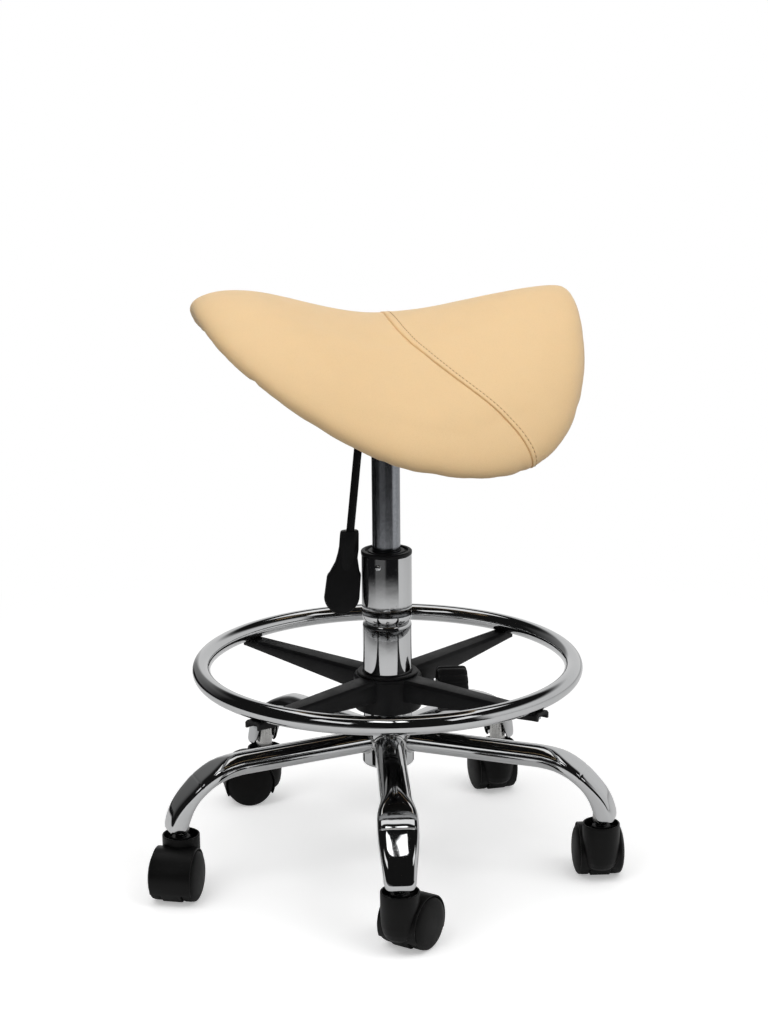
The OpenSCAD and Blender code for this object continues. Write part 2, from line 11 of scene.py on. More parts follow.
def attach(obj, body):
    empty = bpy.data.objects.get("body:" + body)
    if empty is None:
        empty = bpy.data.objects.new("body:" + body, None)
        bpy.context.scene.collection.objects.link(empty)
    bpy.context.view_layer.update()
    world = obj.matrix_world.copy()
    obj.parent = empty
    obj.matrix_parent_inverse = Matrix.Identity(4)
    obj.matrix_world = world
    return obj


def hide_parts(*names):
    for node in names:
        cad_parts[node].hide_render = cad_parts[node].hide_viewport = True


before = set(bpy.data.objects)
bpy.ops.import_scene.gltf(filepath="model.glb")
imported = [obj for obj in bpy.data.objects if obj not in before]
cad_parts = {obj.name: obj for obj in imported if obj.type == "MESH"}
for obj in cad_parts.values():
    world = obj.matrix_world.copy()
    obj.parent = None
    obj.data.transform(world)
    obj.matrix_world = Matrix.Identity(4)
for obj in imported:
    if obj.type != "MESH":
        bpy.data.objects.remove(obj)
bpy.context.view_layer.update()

# A height-adjustable swivel stool: a saddle seat in pale leather on a gas spring, with a foot ring
# and five twin-wheel casters. The seat's nose points to -Y. Meshes are worked out in millimetres
# and finished in metres.

MM = 0.001
TURN = 2 * math.pi

# ---------------------------------------------------------------- sizes

# Saddle
SEAT_LENGTH, SEAT_HALF_WIDTH = 374, 192
OUTLINE_POWER, PEAR = 2.3, 0.1
SEAT_MID_Z = 544
NOSE_RISE, NOSE_REACH = 30, 168
REAR_RISE, REAR_REACH = 22, 190
FLANK_DROP, FLANK_POWER = 99, 1.63
# How much further the flanks drop towards the rear, and at both ends, and where they do so fully
FLANK_TILT, FLANK_BOW, FLANK_REACH = 30, 48, 200
RIDGE_ROUND = 3
PAD_HALF_T, BOARD_HALF_T = 20, 18.4
RIM_POWER, RIM_CURVE = 7, 2.2    # how square the pad's rim is at the flanks
REAR_SQUARE, UPRIGHT_REAR = 21, 1.0
HEM_SHARE, BOARD_SHARE = 0.88, 0.915  # where the cover and the board end, as shares of the outline
SEAM_SWEEP = 28.5                # degrees that the seam turns back on its way to the edge
STITCH_INSET, STITCH_PITCH = 6.3, 4.3
STITCH_SIZE = (1.35, 0.48, 0.45)
FOAM_INSET, COVER_BACKING = 2.4, 2.1
SWELL_CAP, EVENING_ROUNDS, GLUED_DEPTH = 2.6, 14, 6
WAVE_HEIGHT, WAVE_SCALE = 0.5, 0.016  # slow waves of the cover
PLATE_SIZE, PLATE_Z = (130, 120, 3), 495.5

# Column
TUBE_R, SLIDE_R, GAS_R = 25, 24.4, 14
TUBE_FOOT, TUBE_TOP, SHOULDER = 110, 323.5, 256
RIVET_TURN, RIVET_Z = -32, 314.6

# Base
LEG_TURNS = [-9.5 + 72 * k for k in range(5)]
LEG_HALF_W, LEG_HALF_T = 15, 11.1
LEG_Z, LEG_SLOPE = 132, 2.5
LEG_BEND_AT, LEG_BEND_R, LEG_OUTSET = 150, 74, 3.2
LEG_END_Z = 63
LEG_FLARE, CREASE_AT, CREASE_WIDTH, CREASE_DEPTH = 4.4, 36.4, 0.75, 0.45
STEM_CIRCLE_R = 218.5
HUB_R, HUB_BOTTOM, HUB_TOP = 26, 106, 146

# Casters
CASTER_TURNS = [135, 171, 182, 269, -23]
WHEEL_R, TRAIL = 25, 19
WEB_R, WEB_HALF = 26.6, 10
FENDER_R, FENDER_HALF, FENDER_T = 27.5, 20.5, 1.6
BOSS_R, BOSS_TOP, CUP_FLOOR = 18.5, 60.4, 46.5

# Foot ring
RING_R, RING_TUBE_R, RING_Z = 186, 9, 209
LINER_BOTTOM, LINER_TOP = 164, 202.7
SPOKE_TURN, SPOKE_START, SPOKE_END, SPOKE_WALL = 37, 31, 194, 2.5
SPIDER_R, SPIDER_TOP, SPIDER_BOTTOM = 34, 200.5, 165
CLAMP_TURN, CLAMP_Z = SPOKE_TURN + 45, 181
KNOB_R, KNOB_START, KNOB_FLUTES, FLUTE_DEPTH = 22.5, 50, 12, 2.3

# Lever
ARM_Z, ELBOW_Y, ELBOW_R, LEVER_LEAN = 484.4, -21.6, 7, 6.1
ROD_R, ROD_LENGTH = 4, 163.5
BLADE_HALF_T = 4


# ---------------------------------------------------------------- shader tools


def add(tree, kind, inputs=None, **settings):
    """Add a node, set its properties, and set or link its inputs."""
    node = tree.nodes.new(kind if kind.startswith("NodeGroup") else "ShaderNode" + kind)
    for key, value in settings.items():
        setattr(node, key, value)
    for key, value in (inputs or {}).items():
        socket = node.inputs[key]
        if isinstance(value, bpy.types.NodeSocket):
            tree.links.new(value, socket)
        elif socket.type == "RGBA":
            socket.default_value = (*value[:3], 1)
        else:
            socket.default_value = value
    return node


def calc(tree, operation, *values):
    """The result of one math operation."""
    return add(tree, "Math", dict(enumerate(values)), operation=operation).outputs[0]


def ramp(tree, value, *stops):
    """A colour ramp through stops: a position, and a grey level or a colour."""
    node = add(tree, "ValToRGB", {0: value})
    points = node.color_ramp.elements
    while len(points) < len(stops):
        points.new(0.5)
    for point, (at, colour) in zip(points, stops):
        point.position = at
        point.color = (*colour, 1) if isinstance(colour, tuple) else (colour, colour, colour, 1)
    return node.outputs["Color"]


def clouds(tree, place, scale, detail=2.0, roughness=0.5):
    """The outputs of a noise texture."""
    return add(tree, "TexNoise", {"Vector": place, "Scale": scale, "Detail": detail,
                                  "Roughness": roughness}).outputs


def spread(tree, value, low, high, start=0.0, end=1.0, kind="LINEAR"):
    """Start where the value is low, end where it is high, and a change between."""
    node = add(tree, "MapRange", {"Value": value, "From Min": low, "From Max": high,
                                  "To Min": start, "To Max": end}, interpolation_type=kind)
    return node.outputs["Result"]


def group(name, inputs, outputs):
    """A new shader node group with a Vector and the given inputs: its tree, what comes in, and
    where the results go."""
    tree = bpy.data.node_groups.new(name, "ShaderNodeTree")
    tree.interface.new_socket("Vector", in_out="INPUT", socket_type="NodeSocketVector")
    for socket, value in inputs.items():
        kind = "NodeSocketVector" if isinstance(value, tuple) else "NodeSocketFloat"
        tree.interface.new_socket(socket, in_out="INPUT", socket_type=kind).default_value = value
    for socket in outputs:
        tree.interface.new_socket(socket, in_out="OUTPUT", socket_type="NodeSocketFloat")
    return tree, add(tree, "NodeGroupInput").outputs, add(tree, "NodeGroupOutput").inputs


def cloudy_group():
    """Slow, cloudy variation between two values."""
    tree, given, result = group("cloudy_variation", {"Scale": 20.0, "Low": 0.0, "High": 1.0},
                                ["Value"])
    cloud = clouds(tree, given["Vector"], given["Scale"], 5.0, 0.6)["Fac"]
    tree.links.new(spread(tree, cloud, 0.3, 0.7, given["Low"], given["High"]), result["Value"])
    return tree


def scratch_group():
    """Fine wiping marks, mostly along one axis, as a mask from 0 to 1."""
    tree, given, result = group("wiping_marks", {"Stretch": (1.0, 1.0, 12.0), "Amount": 0.5},
                                ["Mask"])
    stretched = add(tree, "VectorMath", {0: given["Vector"], 1: given["Stretch"]},
                    operation="MULTIPLY")
    lines = clouds(tree, stretched.outputs[0], 90.0, 6.0, 0.7)["Fac"]
    patches = clouds(tree, given["Vector"], 16.0)["Fac"]
    both = calc(tree, "MULTIPLY", spread(tree, lines, 0.5, 0.78), spread(tree, patches, 0.4, 0.65))
    tree.links.new(calc(tree, "MULTIPLY", both, given["Amount"]), result["Mask"])
    return tree


def grain_group():
    """The pebbled grain of coated leather: a height, and a mask of the creases between pebbles."""
    tree, given, result = group("leather_grain", {"Scale": 900.0}, ["Height", "Crease"])
    place, push = given["Vector"], 0.0016
    wobble = clouds(tree, place, 260.0, 3.0)["Color"]
    pushed = add(tree, "VectorMath", {0: wobble, 1: (push, push, push), 2: place},
                 operation="MULTIPLY_ADD")
    cells = add(tree, "TexVoronoi", {"Vector": pushed.outputs[0], "Scale": given["Scale"]},
                feature="DISTANCE_TO_EDGE")
    crease = spread(tree, cells.outputs["Distance"], 0.0, 0.16, 1.0, 0.0, "SMOOTHSTEP")
    pores = calc(tree, "MULTIPLY", clouds(tree, place, 2400.0)["Fac"], 0.35)
    tree.links.new(calc(tree, "MULTIPLY_ADD", crease, -0.7, pores), result["Height"])
    tree.links.new(crease, result["Crease"])
    return tree


CLOUDY, MARKS, GRAIN = cloudy_group(), scratch_group(), grain_group()


class Finish:
    """A material whose colour, roughness and bump come from nodes on the piece's own coordinates."""

    def __init__(self, name, colour, roughness, **constants):
        self.material = bpy.data.materials.new(name)
        self.material.use_nodes = True
        self.tree = self.material.node_tree
        self.shader = self.tree.nodes["Principled BSDF"]
        self.colour = colour
        self.shader.inputs["Base Color"].default_value = (*colour, 1)
        self.shader.inputs["Roughness"].default_value = roughness
        for key, value in constants.items():
            self.shader.inputs[key.replace("_", " ")].default_value = value
        self.place = add(self.tree, "TexCoord").outputs["Object"]

    def use(self, tree, **inputs):
        """The outputs of a shared group, fed with the piece's own coordinates."""
        return add(self.tree, "Group", {"Vector": self.place, **inputs}, node_tree=tree).outputs

    def cloudy(self, scale, low=0.0, high=1.0):
        return self.use(CLOUDY, Scale=scale, Low=low, High=high)["Value"]

    def noise(self, scale, detail=2.0, roughness=0.5, stretch=None):
        """Noise from 0 to 1, finer along the axes that are stretched more."""
        place = self.place
        if stretch:
            place = add(self.tree, "VectorMath", {0: place, 1: stretch},
                        operation="MULTIPLY").outputs[0]
        return clouds(self.tree, place, scale, detail, roughness)["Fac"]

    def calc(self, operation, *values):
        return calc(self.tree, operation, *values)

    def mix(self, factor, first, second, blend="MIX"):
        """A mix of two colours, each a socket or a colour."""
        return add(self.tree, "Mix", {0: factor, 6: first, 7: second}, data_type="RGBA",
                   blend_type=blend).outputs[2]

    def tones(self, factor, dark, light):
        """The material's colour, from a darker to a lighter share of it."""
        return self.mix(factor, *(tuple(min(1, c * share) for c in self.colour)
                                  for share in (dark, light)))

    def bump(self, height, strength, distance, **under):
        return add(self.tree, "Bump", {"Height": height, "Strength": strength,
                                       "Distance": distance, **under}).outputs["Normal"]

    def made(self, **links):
        """The material, with the given values linked to its shader."""
        for name, value in links.items():
            self.tree.links.new(value, self.shader.inputs[name.replace("_", " ")])
        return self.material


# ---------------------------------------------------------------- materials


def leather():
    f = Finish("pale_leather", (0.80, 0.565, 0.305), 0.5, Specular_IOR_Level=0.42,
               Sheen_Weight=0.12, Sheen_Roughness=0.5, Subsurface_Weight=0.04,
               Subsurface_Scale=0.004)
    grain = f.use(GRAIN, Scale=820.0)
    tone = f.mix(f.cloudy(55, 0.0, 0.35), f.tones(f.cloudy(7), 0.965, 1.03), (0.83, 0.57, 0.29))
    crease = f.calc("MULTIPLY", grain["Crease"], 0.10)
    broad = f.bump(f.noise(38.0, 3.0), 0.12, 0.004)
    return f.made(Base_Color=f.mix(crease, tone, (0.50, 0.31, 0.14)),
                  Roughness=f.cloudy(34, 0.43, 0.56),
                  Normal=f.bump(grain["Height"], 0.22, 0.0004, Normal=broad))


def thread():
    f = Finish("sewing_thread", (0.47, 0.29, 0.14), 0.62, Sheen_Weight=0.25)
    twist = add(f.tree, "TexWave", {"Vector": f.place, "Scale": 900.0, "Distortion": 1.5},
                bands_direction="DIAGONAL").outputs["Fac"]
    return f.made(Base_Color=f.tones(twist, 0.8, 1.1), Normal=f.bump(twist, 0.5, 0.0002))


def foam():
    f = Finish("seat_foam", (0.72, 0.66, 0.45), 0.9)
    cells = add(f.tree, "TexVoronoi", {"Vector": f.place, "Scale": 700.0}).outputs["Distance"]
    return f.made(Base_Color=f.tones(cells, 0.7, 1.1), Normal=f.bump(cells, 0.6, 0.0008))


def plywood():
    f = Finish("plywood_layers", (0.62, 0.42, 0.24), 0.7)
    height = add(f.tree, "SeparateXYZ", {0: f.place}).outputs["Z"]
    layers = add(f.tree, "TexWave", {"Vector": f.place, "Scale": 190.0, "Distortion": 0.6,
                                     "Detail": 2.0}, bands_direction="Z").outputs["Fac"]
    fibre = f.noise(18.0, 5.0, stretch=(2, 30, 30))
    layered = ramp(f.tree, layers, (0.1, (0.36, 0.21, 0.11)), (0.5, (0.62, 0.43, 0.25)),
                   (0.9, (0.70, 0.52, 0.32)))
    fibrous = ramp(f.tree, fibre, (0.3, (0.45, 0.29, 0.15)), (0.7, (0.76, 0.58, 0.38)))
    uneven = f.calc("MULTIPLY_ADD", height, 0.2, fibre)
    return f.made(Base_Color=f.mix(0.35, layered, fibrous), Normal=f.bump(uneven, 0.4, 0.0005))


def chrome():
    low, high = 0.03, 0.07
    f = Finish("polished_chrome", (0.53, 0.535, 0.54), low, Metallic=1.0)
    marks = f.use(MARKS, Stretch=(3.0, 3.0, 14.0), Amount=0.5)["Mask"]
    dust = spread(f.tree, f.noise(620.0, 4.0), 0.66, 0.76, 0.0, 0.16)
    rough = f.calc("MULTIPLY_ADD", marks, 0.10, f.cloudy(24, low, high))
    return f.made(Base_Color=f.tones(f.cloudy(12), 0.95, 1.03),
                  Roughness=f.calc("ADD", rough, dust),
                  Normal=f.bump(f.noise(70.0), 0.05, 0.0006))


def rod_steel():
    f = Finish("blued_rod_steel", (0.27, 0.28, 0.30), 0.3, Metallic=1.0)
    bands = f.noise(170.0, 4.0, stretch=(1, 1, 0.08))
    mottled = f.noise(420.0, 5.0, 0.7)
    spots = ramp(f.tree, mottled, (0.36, 0.82), (0.62, 1.08))
    return f.made(Base_Color=f.mix(1.0, f.tones(bands, 0.75, 1.5), spots, "MULTIPLY"),
                  Roughness=f.calc("MULTIPLY_ADD", mottled, 0.12, f.cloudy(60, 0.12, 0.2)),
                  Normal=f.bump(bands, 0.05, 0.0003))


def plated(name, colour, low, high):
    """Zinc, nickel, steel or brass with fine marks and a little dulling."""
    f = Finish(name, colour, low, Metallic=1.0)
    marks = f.use(MARKS, Stretch=(2, 2, 2), Amount=1.0)["Mask"]
    return f.made(Base_Color=f.tones(f.cloudy(90), 0.8, 1.08),
                  Roughness=f.calc("MULTIPLY_ADD", marks, 0.2, f.cloudy(45, low, high)),
                  Normal=f.bump(marks, 0.2, 0.0002))


def moulded(name, colour, low, high, texture, depth):
    """Black plastic or paint: a fine surface texture, cloudy gloss, and a painted highlight that colours
    convex edges paler in cloudy patches.
    """
    f = Finish(name, colour, low, Specular_IOR_Level=0.17)
    # painted highlight: convex edges, found by pointiness, are coloured paler in cloudy patches
    edge = spread(f.tree, add(f.tree, "NewGeometry").outputs["Pointiness"], 0.53, 0.62, 0.0, 0.8)
    painted_edge_highlight = f.calc("MULTIPLY", edge, f.cloudy(70, 0.2, 1.0))
    tone = f.tones(f.cloudy(30), 0.75, 1.3)
    return f.made(Base_Color=f.mix(painted_edge_highlight, tone, (0.035, 0.035, 0.035)),
                  Roughness=f.cloudy(40, low, high),
                  Normal=f.bump(f.noise(texture, 3.0), 0.35, depth))


LEATHER, THREAD, FOAM, PLYWOOD = leather(), thread(), foam(), plywood()
CHROME, ROD_STEEL = chrome(), rod_steel()
NICKEL = plated("satin_nickel", (0.58, 0.575, 0.56), 0.2, 0.34)
WELD = plated("plated_weld", (0.60, 0.60, 0.60), 0.14, 0.3)
ZINC = plated("zinc_plate", (0.50, 0.51, 0.52), 0.28, 0.42)
BRIGHT = plated("bright_steel", (0.62, 0.63, 0.64), 0.12, 0.22)
BRASS = plated("turned_brass", (0.72, 0.52, 0.22), 0.2, 0.35)
STAPLE_WIRE = plated("staple_wire", (0.55, 0.55, 0.56), 0.25, 0.35)
BOARD = moulded("painted_board", (0.014, 0.0135, 0.013), 0.55, 0.75, 600.0, 0.0004)
POWDER = moulded("black_powder_coat", (0.0055, 0.0055, 0.006), 0.38, 0.52, 1500.0, 0.00025)
PLASTIC = moulded("black_plastic", (0.007, 0.007, 0.0075), 0.38, 0.5, 2200.0, 0.00012)
HOOD = moulded("caster_hood_plastic", (0.0032, 0.0032, 0.0032), 0.36, 0.48, 1700.0, 0.00012)
TYRE = moulded("caster_tread", (0.0035, 0.0034, 0.0034), 0.46, 0.6, 900.0, 0.0003)
RUBBER = moulded("bumper_rubber", (0.018, 0.018, 0.018), 0.7, 0.85, 1200.0, 0.0003)

# ---------------------------------------------------------------- mesh tools


def finish_piece(name, bm, body, material, nodes=(), sharp=32):
    """Turn a mesh made in millimetres into a piece that rides on a body and stands for CAD nodes."""
    bmesh.ops.scale(bm, vec=(MM, MM, MM), verts=bm.verts)
    bmesh.ops.recalc_face_normals(bm, faces=bm.faces)
    mesh = bpy.data.meshes.new(name)
    bm.to_mesh(mesh)
    bm.free()
    mesh.shade_smooth()
    mesh.set_sharp_from_angle(angle=math.radians(sharp))
    mesh.materials.append(material)
    piece = bpy.data.objects.new(name, mesh)
    bpy.context.scene.collection.objects.link(piece)
    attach(piece, body)
    if nodes:
        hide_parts(*nodes)
    return piece


def turns(count):
    """Angles that share out one full turn."""
    return [TURN * k / count for k in range(count)]


def curve(start, corner, end, steps):
    """Points of the smooth curve that rounds a corner."""
    return [start * (1 - t) ** 2 + corner * 2 * t * (1 - t) + end * t * t
            for t in (k / steps for k in range(steps + 1))]


def softened(profile, radius, closed=True):
    """The profile's points, with each corner rounded."""
    points = [Vector(p) for p in profile]
    rounded = []
    for i, p in enumerate(points):
        if not closed and i in (0, len(points) - 1):
            rounded.append(p)
            continue
        before, after = points[i - 1] - p, points[(i + 1) % len(points)] - p
        cut = min(radius, before.length * 0.45, after.length * 0.45)
        rounded += curve(p + before.normalized() * cut, p, p + after.normalized() * cut, 3)
    return rounded


def lathe(bm, profile, steps, rounding=0, closed=True, place=None):
    """Spin a profile of (radius, height) points once round z, then move it into place."""
    if rounding:
        profile = softened(profile, rounding, closed)
    verts = [bm.verts.new((r, 0, z)) for r, z in profile]
    pairs = zip(verts, verts[1:] + verts[:1]) if closed else zip(verts, verts[1:])
    edges = [bm.edges.new(pair) for pair in pairs]
    old = set(bm.verts) - set(verts)
    bmesh.ops.spin(bm, geom=verts + edges, cent=(0, 0, 0), axis=(0, 0, 1), dvec=(0, 0, 0),
                   angle=TURN, steps=steps, use_merge=True)
    made = [v for v in bm.verts if v not in old]
    if place:
        bmesh.ops.transform(bm, matrix=place, verts=made)
    bmesh.ops.remove_doubles(bm, verts=made, dist=1e-3)
    return [v for v in bm.verts if v not in old]


def turned_piece(name, profile, steps, rounding, body, material, node):
    """A piece spun round the column's axis, which stands for one CAD node."""
    bm = bmesh.new()
    lathe(bm, profile, steps, rounding)
    return finish_piece(name, bm, body, material, [node])


def next_ring(bm, ring, points):
    """Extrude a closed ring of vertices, and put the new ring at the given points."""
    edges = [bm.edges.get(pair) for pair in zip(ring, ring[1:] + ring[:1])]
    made = set(g for g in bmesh.ops.extrude_edge_only(bm, edges=edges)["geom"]
               if isinstance(g, bmesh.types.BMVert))
    ring = [next(e.other_vert(v) for e in v.link_edges if e.other_vert(v) in made) for v in ring]
    for v, p in zip(ring, points):
        v.co = p
    return ring


def sweep(bm, loops, caps=True):
    """A skin through loops of points, made by extruding the first loop again and again."""
    first = ring = [bm.verts.new(p) for p in loops[0]]
    for pair in zip(first, first[1:] + first[:1]):
        bm.edges.new(pair)
    for loop in loops[1:]:
        ring = next_ring(bm, ring, loop)
    if caps:
        bm.faces.new(first)
        bm.faces.new(ring)
    return first, ring


def soften_edges(bm, width, angle=30, segments=2, faces=None):
    """Round the edges whose faces meet at more than an angle."""
    edges = [e for e in (bm.edges if faces is None else {e for f in faces for e in f.edges})
             if len(e.link_faces) == 2 and e.calc_face_angle(0) > math.radians(angle)]
    bmesh.ops.bevel(bm, geom=edges, offset=width, offset_type="OFFSET", affect="EDGES",
                    segments=segments, profile=0.5, clamp_overlap=True, material=-1)


def tube_loop(centre, across, up, radius, count):
    """A circle of points round a centre, in the plane of two directions."""
    return [centre + across * (radius * math.cos(a)) + up * (radius * math.sin(a))
            for a in turns(count)]


def bent_tube(bm, path, radius, count, closed=False):
    """A round bar along a path of points."""
    loops = []
    for i, p in enumerate(path):
        ahead = path[(i + 1) % len(path)] if closed or i + 1 < len(path) else p
        behind = path[i - 1] if closed or i else p
        along = (ahead - behind).normalized()
        side = along.cross(Vector((0, 0, 1)) if abs(along.z) < 0.9 else Vector((0, 1, 0))).normalized()
        loops.append(tube_loop(p, side, side.cross(along), radius, count))
    first, last = sweep(bm, loops, caps=not closed)
    if closed:
        for i in range(count):
            j = (i + 1) % count
            bm.faces.new((last[i], last[j], first[j], first[i]))


def smooth(low, high, value):
    """0 below low, 1 above high, and a smooth rise between."""
    t = min(1, max(0, (value - low) / (high - low)))
    return t * t * (3 - 2 * t)


def turned(degrees, x=0, y=0, z=0):
    """A turn about z, after a shift."""
    return Matrix.Rotation(math.radians(degrees), 4, "Z") @ Matrix.Translation((x, y, z))


def box(bm, size, centre, turn=0.0):
    """A box at a centre, then turned about z."""
    place = Matrix.Translation(centre) @ Matrix.Diagonal((*size, 1))
    bmesh.ops.create_cube(bm, size=1, matrix=Matrix.Rotation(turn, 4, "Z") @ place)


def signed_power(value, power):
    return math.copysign(abs(value) ** power, value)


LIE_ALONG_X = Matrix.Rotation(math.radians(90), 4, "Y")

# ---------------------------------------------------------------- gas column


def column_tube():
    round_r = 2.8
    shoulder = [(SLIDE_R - 2.2 * (1 - math.cos(a)), SHOULDER - 6 + 4 * math.sin(a))
                for a in (math.radians(15 * k) for k in range(1, 7))]
    widening = [(TUBE_R - round_r * (1 - math.cos(a)), SHOULDER + 7 - 7 * math.sin(a))
                for a in (math.radians(15 * k) for k in range(6, -1, -1))]
    inner_r, slide_inner_r, foot_r = 23.1, 19.8, 6
    profile = [(foot_r, TUBE_FOOT), (21.8, TUBE_FOOT), (SLIDE_R, 149), (SLIDE_R, SHOULDER - 6)]
    profile += shoulder + widening
    profile += [(TUBE_R, TUBE_TOP - 0.6), (TUBE_R - 0.5, TUBE_TOP), (inner_r, TUBE_TOP),
                (inner_r, SHOULDER + 6), (slide_inner_r, SHOULDER + 6), (slide_inner_r, TUBE_FOOT + 4),
                (foot_r, TUBE_FOOT + 4)]
    turned_piece("column_tube_shell", profile, 128, 0, "base", CHROME, "column_tube")


def top_bushing():
    top, lip_r, bore_r = TUBE_TOP + 3.8, TUBE_R + 0.35, GAS_R + 0.1
    turned_piece("column_bushing", [
        (bore_r, 300), (22.9, 300), (22.9, TUBE_TOP), (lip_r, TUBE_TOP), (lip_r, top - 0.7),
        (24.4, top), (21.6, top), (21, top - 2.1), (18.4, top - 2.1), (18, top - 0.4),
        (bore_r + 0.7, top - 0.4), (bore_r, top - 1.7)], 128, 0.5, "base", PLASTIC, "top_bushing")


def tube_rivet():
    bm = bmesh.new()
    lathe(bm, [(0, -0.3), (3.0, -0.3), (3.0, 0.25), (2.75, 0.6), (2.1, 1.0), (1.1, 1.25), (0, 1.3)],
          32, closed=False, place=turned(RIVET_TURN, TUBE_R, 0, RIVET_Z) @ LIE_ALONG_X)
    finish_piece("crimp_rivet", bm, "base", BRIGHT, ["tube_rivet"], sharp=50)


def pressure_tube():
    wall = 1.5
    turned_piece("pressure_tube_shell", [
        (GAS_R - wall, 190), (GAS_R, 190), (GAS_R, 428), (GAS_R - 1.2, 476), (GAS_R - 2.8, 476),
        (GAS_R - 2.8, 470), (GAS_R - wall, 424)], 96, 0.8, "seat", ROD_STEEL, "pressure_tube")


# ---------------------------------------------------------------- base


def base_hub():
    turned_piece("base_hub_shell", [
        (18, HUB_BOTTOM), (HUB_R - 1.5, HUB_BOTTOM), (HUB_R, HUB_BOTTOM + 2), (HUB_R, HUB_TOP - 1.5),
        (HUB_R - 1.2, HUB_TOP), (23.9, HUB_TOP), (21.3, TUBE_FOOT), (18, TUBE_FOOT)],
        128, 1.2, "base", CHROME, "base_hub")


def leg_section(bend):
    """Half width, outer and inner reach, roundness and channel depth of a leg at a bend angle."""
    pinch = smooth(5, 32, bend)
    half_width = LEG_HALF_W + LEG_FLARE * (smooth(2, 28, bend) - smooth(36, 79, bend))
    outer = LEG_HALF_T - 3.0 * pinch + 2.8 * smooth(42, 66, bend)
    inner = LEG_HALF_T - 4.6 * pinch + 4.6 * smooth(42, 72, bend)
    outer_power = 2 + 2.4 * smooth(6, 27, bend)
    side_power = 2 + 0.9 * smooth(10, 36, bend)
    channel = 5.0 * smooth(30, 60, bend)
    return half_width, outer, inner, outer_power, side_power, channel


def leg_loop(bend_share, shrink=0.0):
    """A loop of points round a leg at a share of its bend, in the leg's sloped plane."""
    points = []
    for a in turns(56):
        ca, sa = math.cos(a), math.sin(a)
        # the end is cut level, higher on the inside where the caster's socket stands
        cut_z = LEG_END_Z + 20 * smooth(0.35, 0.95, -sa)
        reach = LEG_BEND_R + (10 if sa > 0 else 7) * sa
        level = cut_z - (LEG_Z - LEG_BEND_R - LEG_SLOPE * 3.7)
        bend = bend_share * (math.degrees(math.acos(max(-1, min(1, level / reach)))) - LEG_SLOPE)
        half_width, outer, inner, outer_power, side_power, channel = leg_section(bend)
        power = outer_power if sa > 0 else side_power
        y = (half_width - shrink) * signed_power(ca, 2 / power)
        height = abs(sa) ** (2 / power)
        across = (y / half_width) ** 2
        if sa > 0:
            crease = CREASE_DEPTH * math.exp(-((bend - CREASE_AT) / CREASE_WIDTH) ** 2)
            m = (outer - shrink - crease * (0.55 + 0.45 * across)) * height
        else:
            m = -(inner - shrink) * height + channel * max(0, 1 - across) ** 1.5
        t = math.radians(bend)
        points.append(Vector((LEG_BEND_AT + LEG_OUTSET + (LEG_BEND_R + m) * math.sin(t), y,
                              -LEG_BEND_R + (LEG_BEND_R + m) * math.cos(t))))
    return points


def leg(k):
    bm = bmesh.new()
    loops = [[Vector((x, p.y, p.z)) for p in leg_loop(0)] for x in (21, 24, 45, 75, 105, 130)]
    # closer round the crease
    shares = [0.07 * i for i in range(6)] + [0.42 + 0.005 * i for i in range(24)]
    shares += [0.57 + 0.035 * i for i in range(11)]
    loops += [leg_loop(share) for share in shares]
    # the end rolls in, then turns up inside to show the wall
    for back, shrink in ((0.952, 0.05), (0.968, 0.25), (0.982, 0.6), (0.993, 1.05), (1.0, 1.6),
                         (0.999, 2.0), (0.985, 2.5), (0.93, 2.7), (0.86, 2.7)):
        loops.append(leg_loop(back, shrink))
    sweep(bm, loops)
    sloped = Matrix.Rotation(math.radians(LEG_SLOPE), 4, "Y")
    bmesh.ops.transform(bm, matrix=turned(LEG_TURNS[k], 0, 0, LEG_Z) @ sloped, verts=bm.verts)
    finish_piece(f"leg_{k + 1}_tube", bm, "base", CHROME, [f"leg_{k + 1}"], sharp=40)


def leg_welds():
    """A bead of weld round each leg where it meets the hub."""
    bm = bmesh.new()
    stand_off = 0.2
    for k, leg_turn in enumerate(LEG_TURNS):
        path = []
        for a in turns(72):
            y, up = (LEG_HALF_W + stand_off) * math.cos(a), (LEG_HALF_T + stand_off) * math.sin(a)
            x = math.sqrt((HUB_R + 0.3) ** 2 - y * y)
            path.append(Vector((x, y, LEG_Z - math.radians(LEG_SLOPE) * x + up)))
        start = len(bm.verts)
        bent_tube(bm, path, 1.5, 8, closed=True)
        bm.verts.ensure_lookup_table()
        made = bm.verts[start:]
        for v in made:
            step = noise.noise(v.co * 0.45 + Vector((7 * k, 0, 0)))
            v.co += Vector((v.co.x, v.co.y, 0)).normalized() * 0.5 * step
        bmesh.ops.transform(bm, matrix=turned(leg_turn), verts=made)
    finish_piece("leg_welds", bm, "base", WELD, sharp=80)


def stem_sockets():
    bm = bmesh.new()
    bore_r, sleeve_r, bottom, top = 5.6, 8.5, LEG_END_Z - 0.7, 85
    for leg_turn in LEG_TURNS:
        lathe(bm, [(bore_r, bottom), (sleeve_r, bottom), (sleeve_r, top), (0.5, top), (0.5, top - 3),
                   (bore_r, top - 3)], 48, 0.7, place=turned(leg_turn, STEM_CIRCLE_R))
    finish_piece("stem_socket_sleeves", bm, "base", NICKEL, ["stem_sockets"])


# ---------------------------------------------------------------- casters

AXLE_CENTRE = Matrix.Translation((TRAIL, 0, WHEEL_R))


def caster_frame(k):
    """From a caster, with its stem on z and its axle behind it on +X, to the stool."""
    stem = turned(LEG_TURNS[k], STEM_CIRCLE_R)
    return stem @ Matrix.Rotation(math.radians(CASTER_TURNS[k] - LEG_TURNS[k]), 4, "Z")


def along_axle(side):
    """From a shape spun round z to the axle, with z towards a side."""
    return AXLE_CENTRE @ Matrix.Rotation(math.radians(-90 * side), 4, "X")


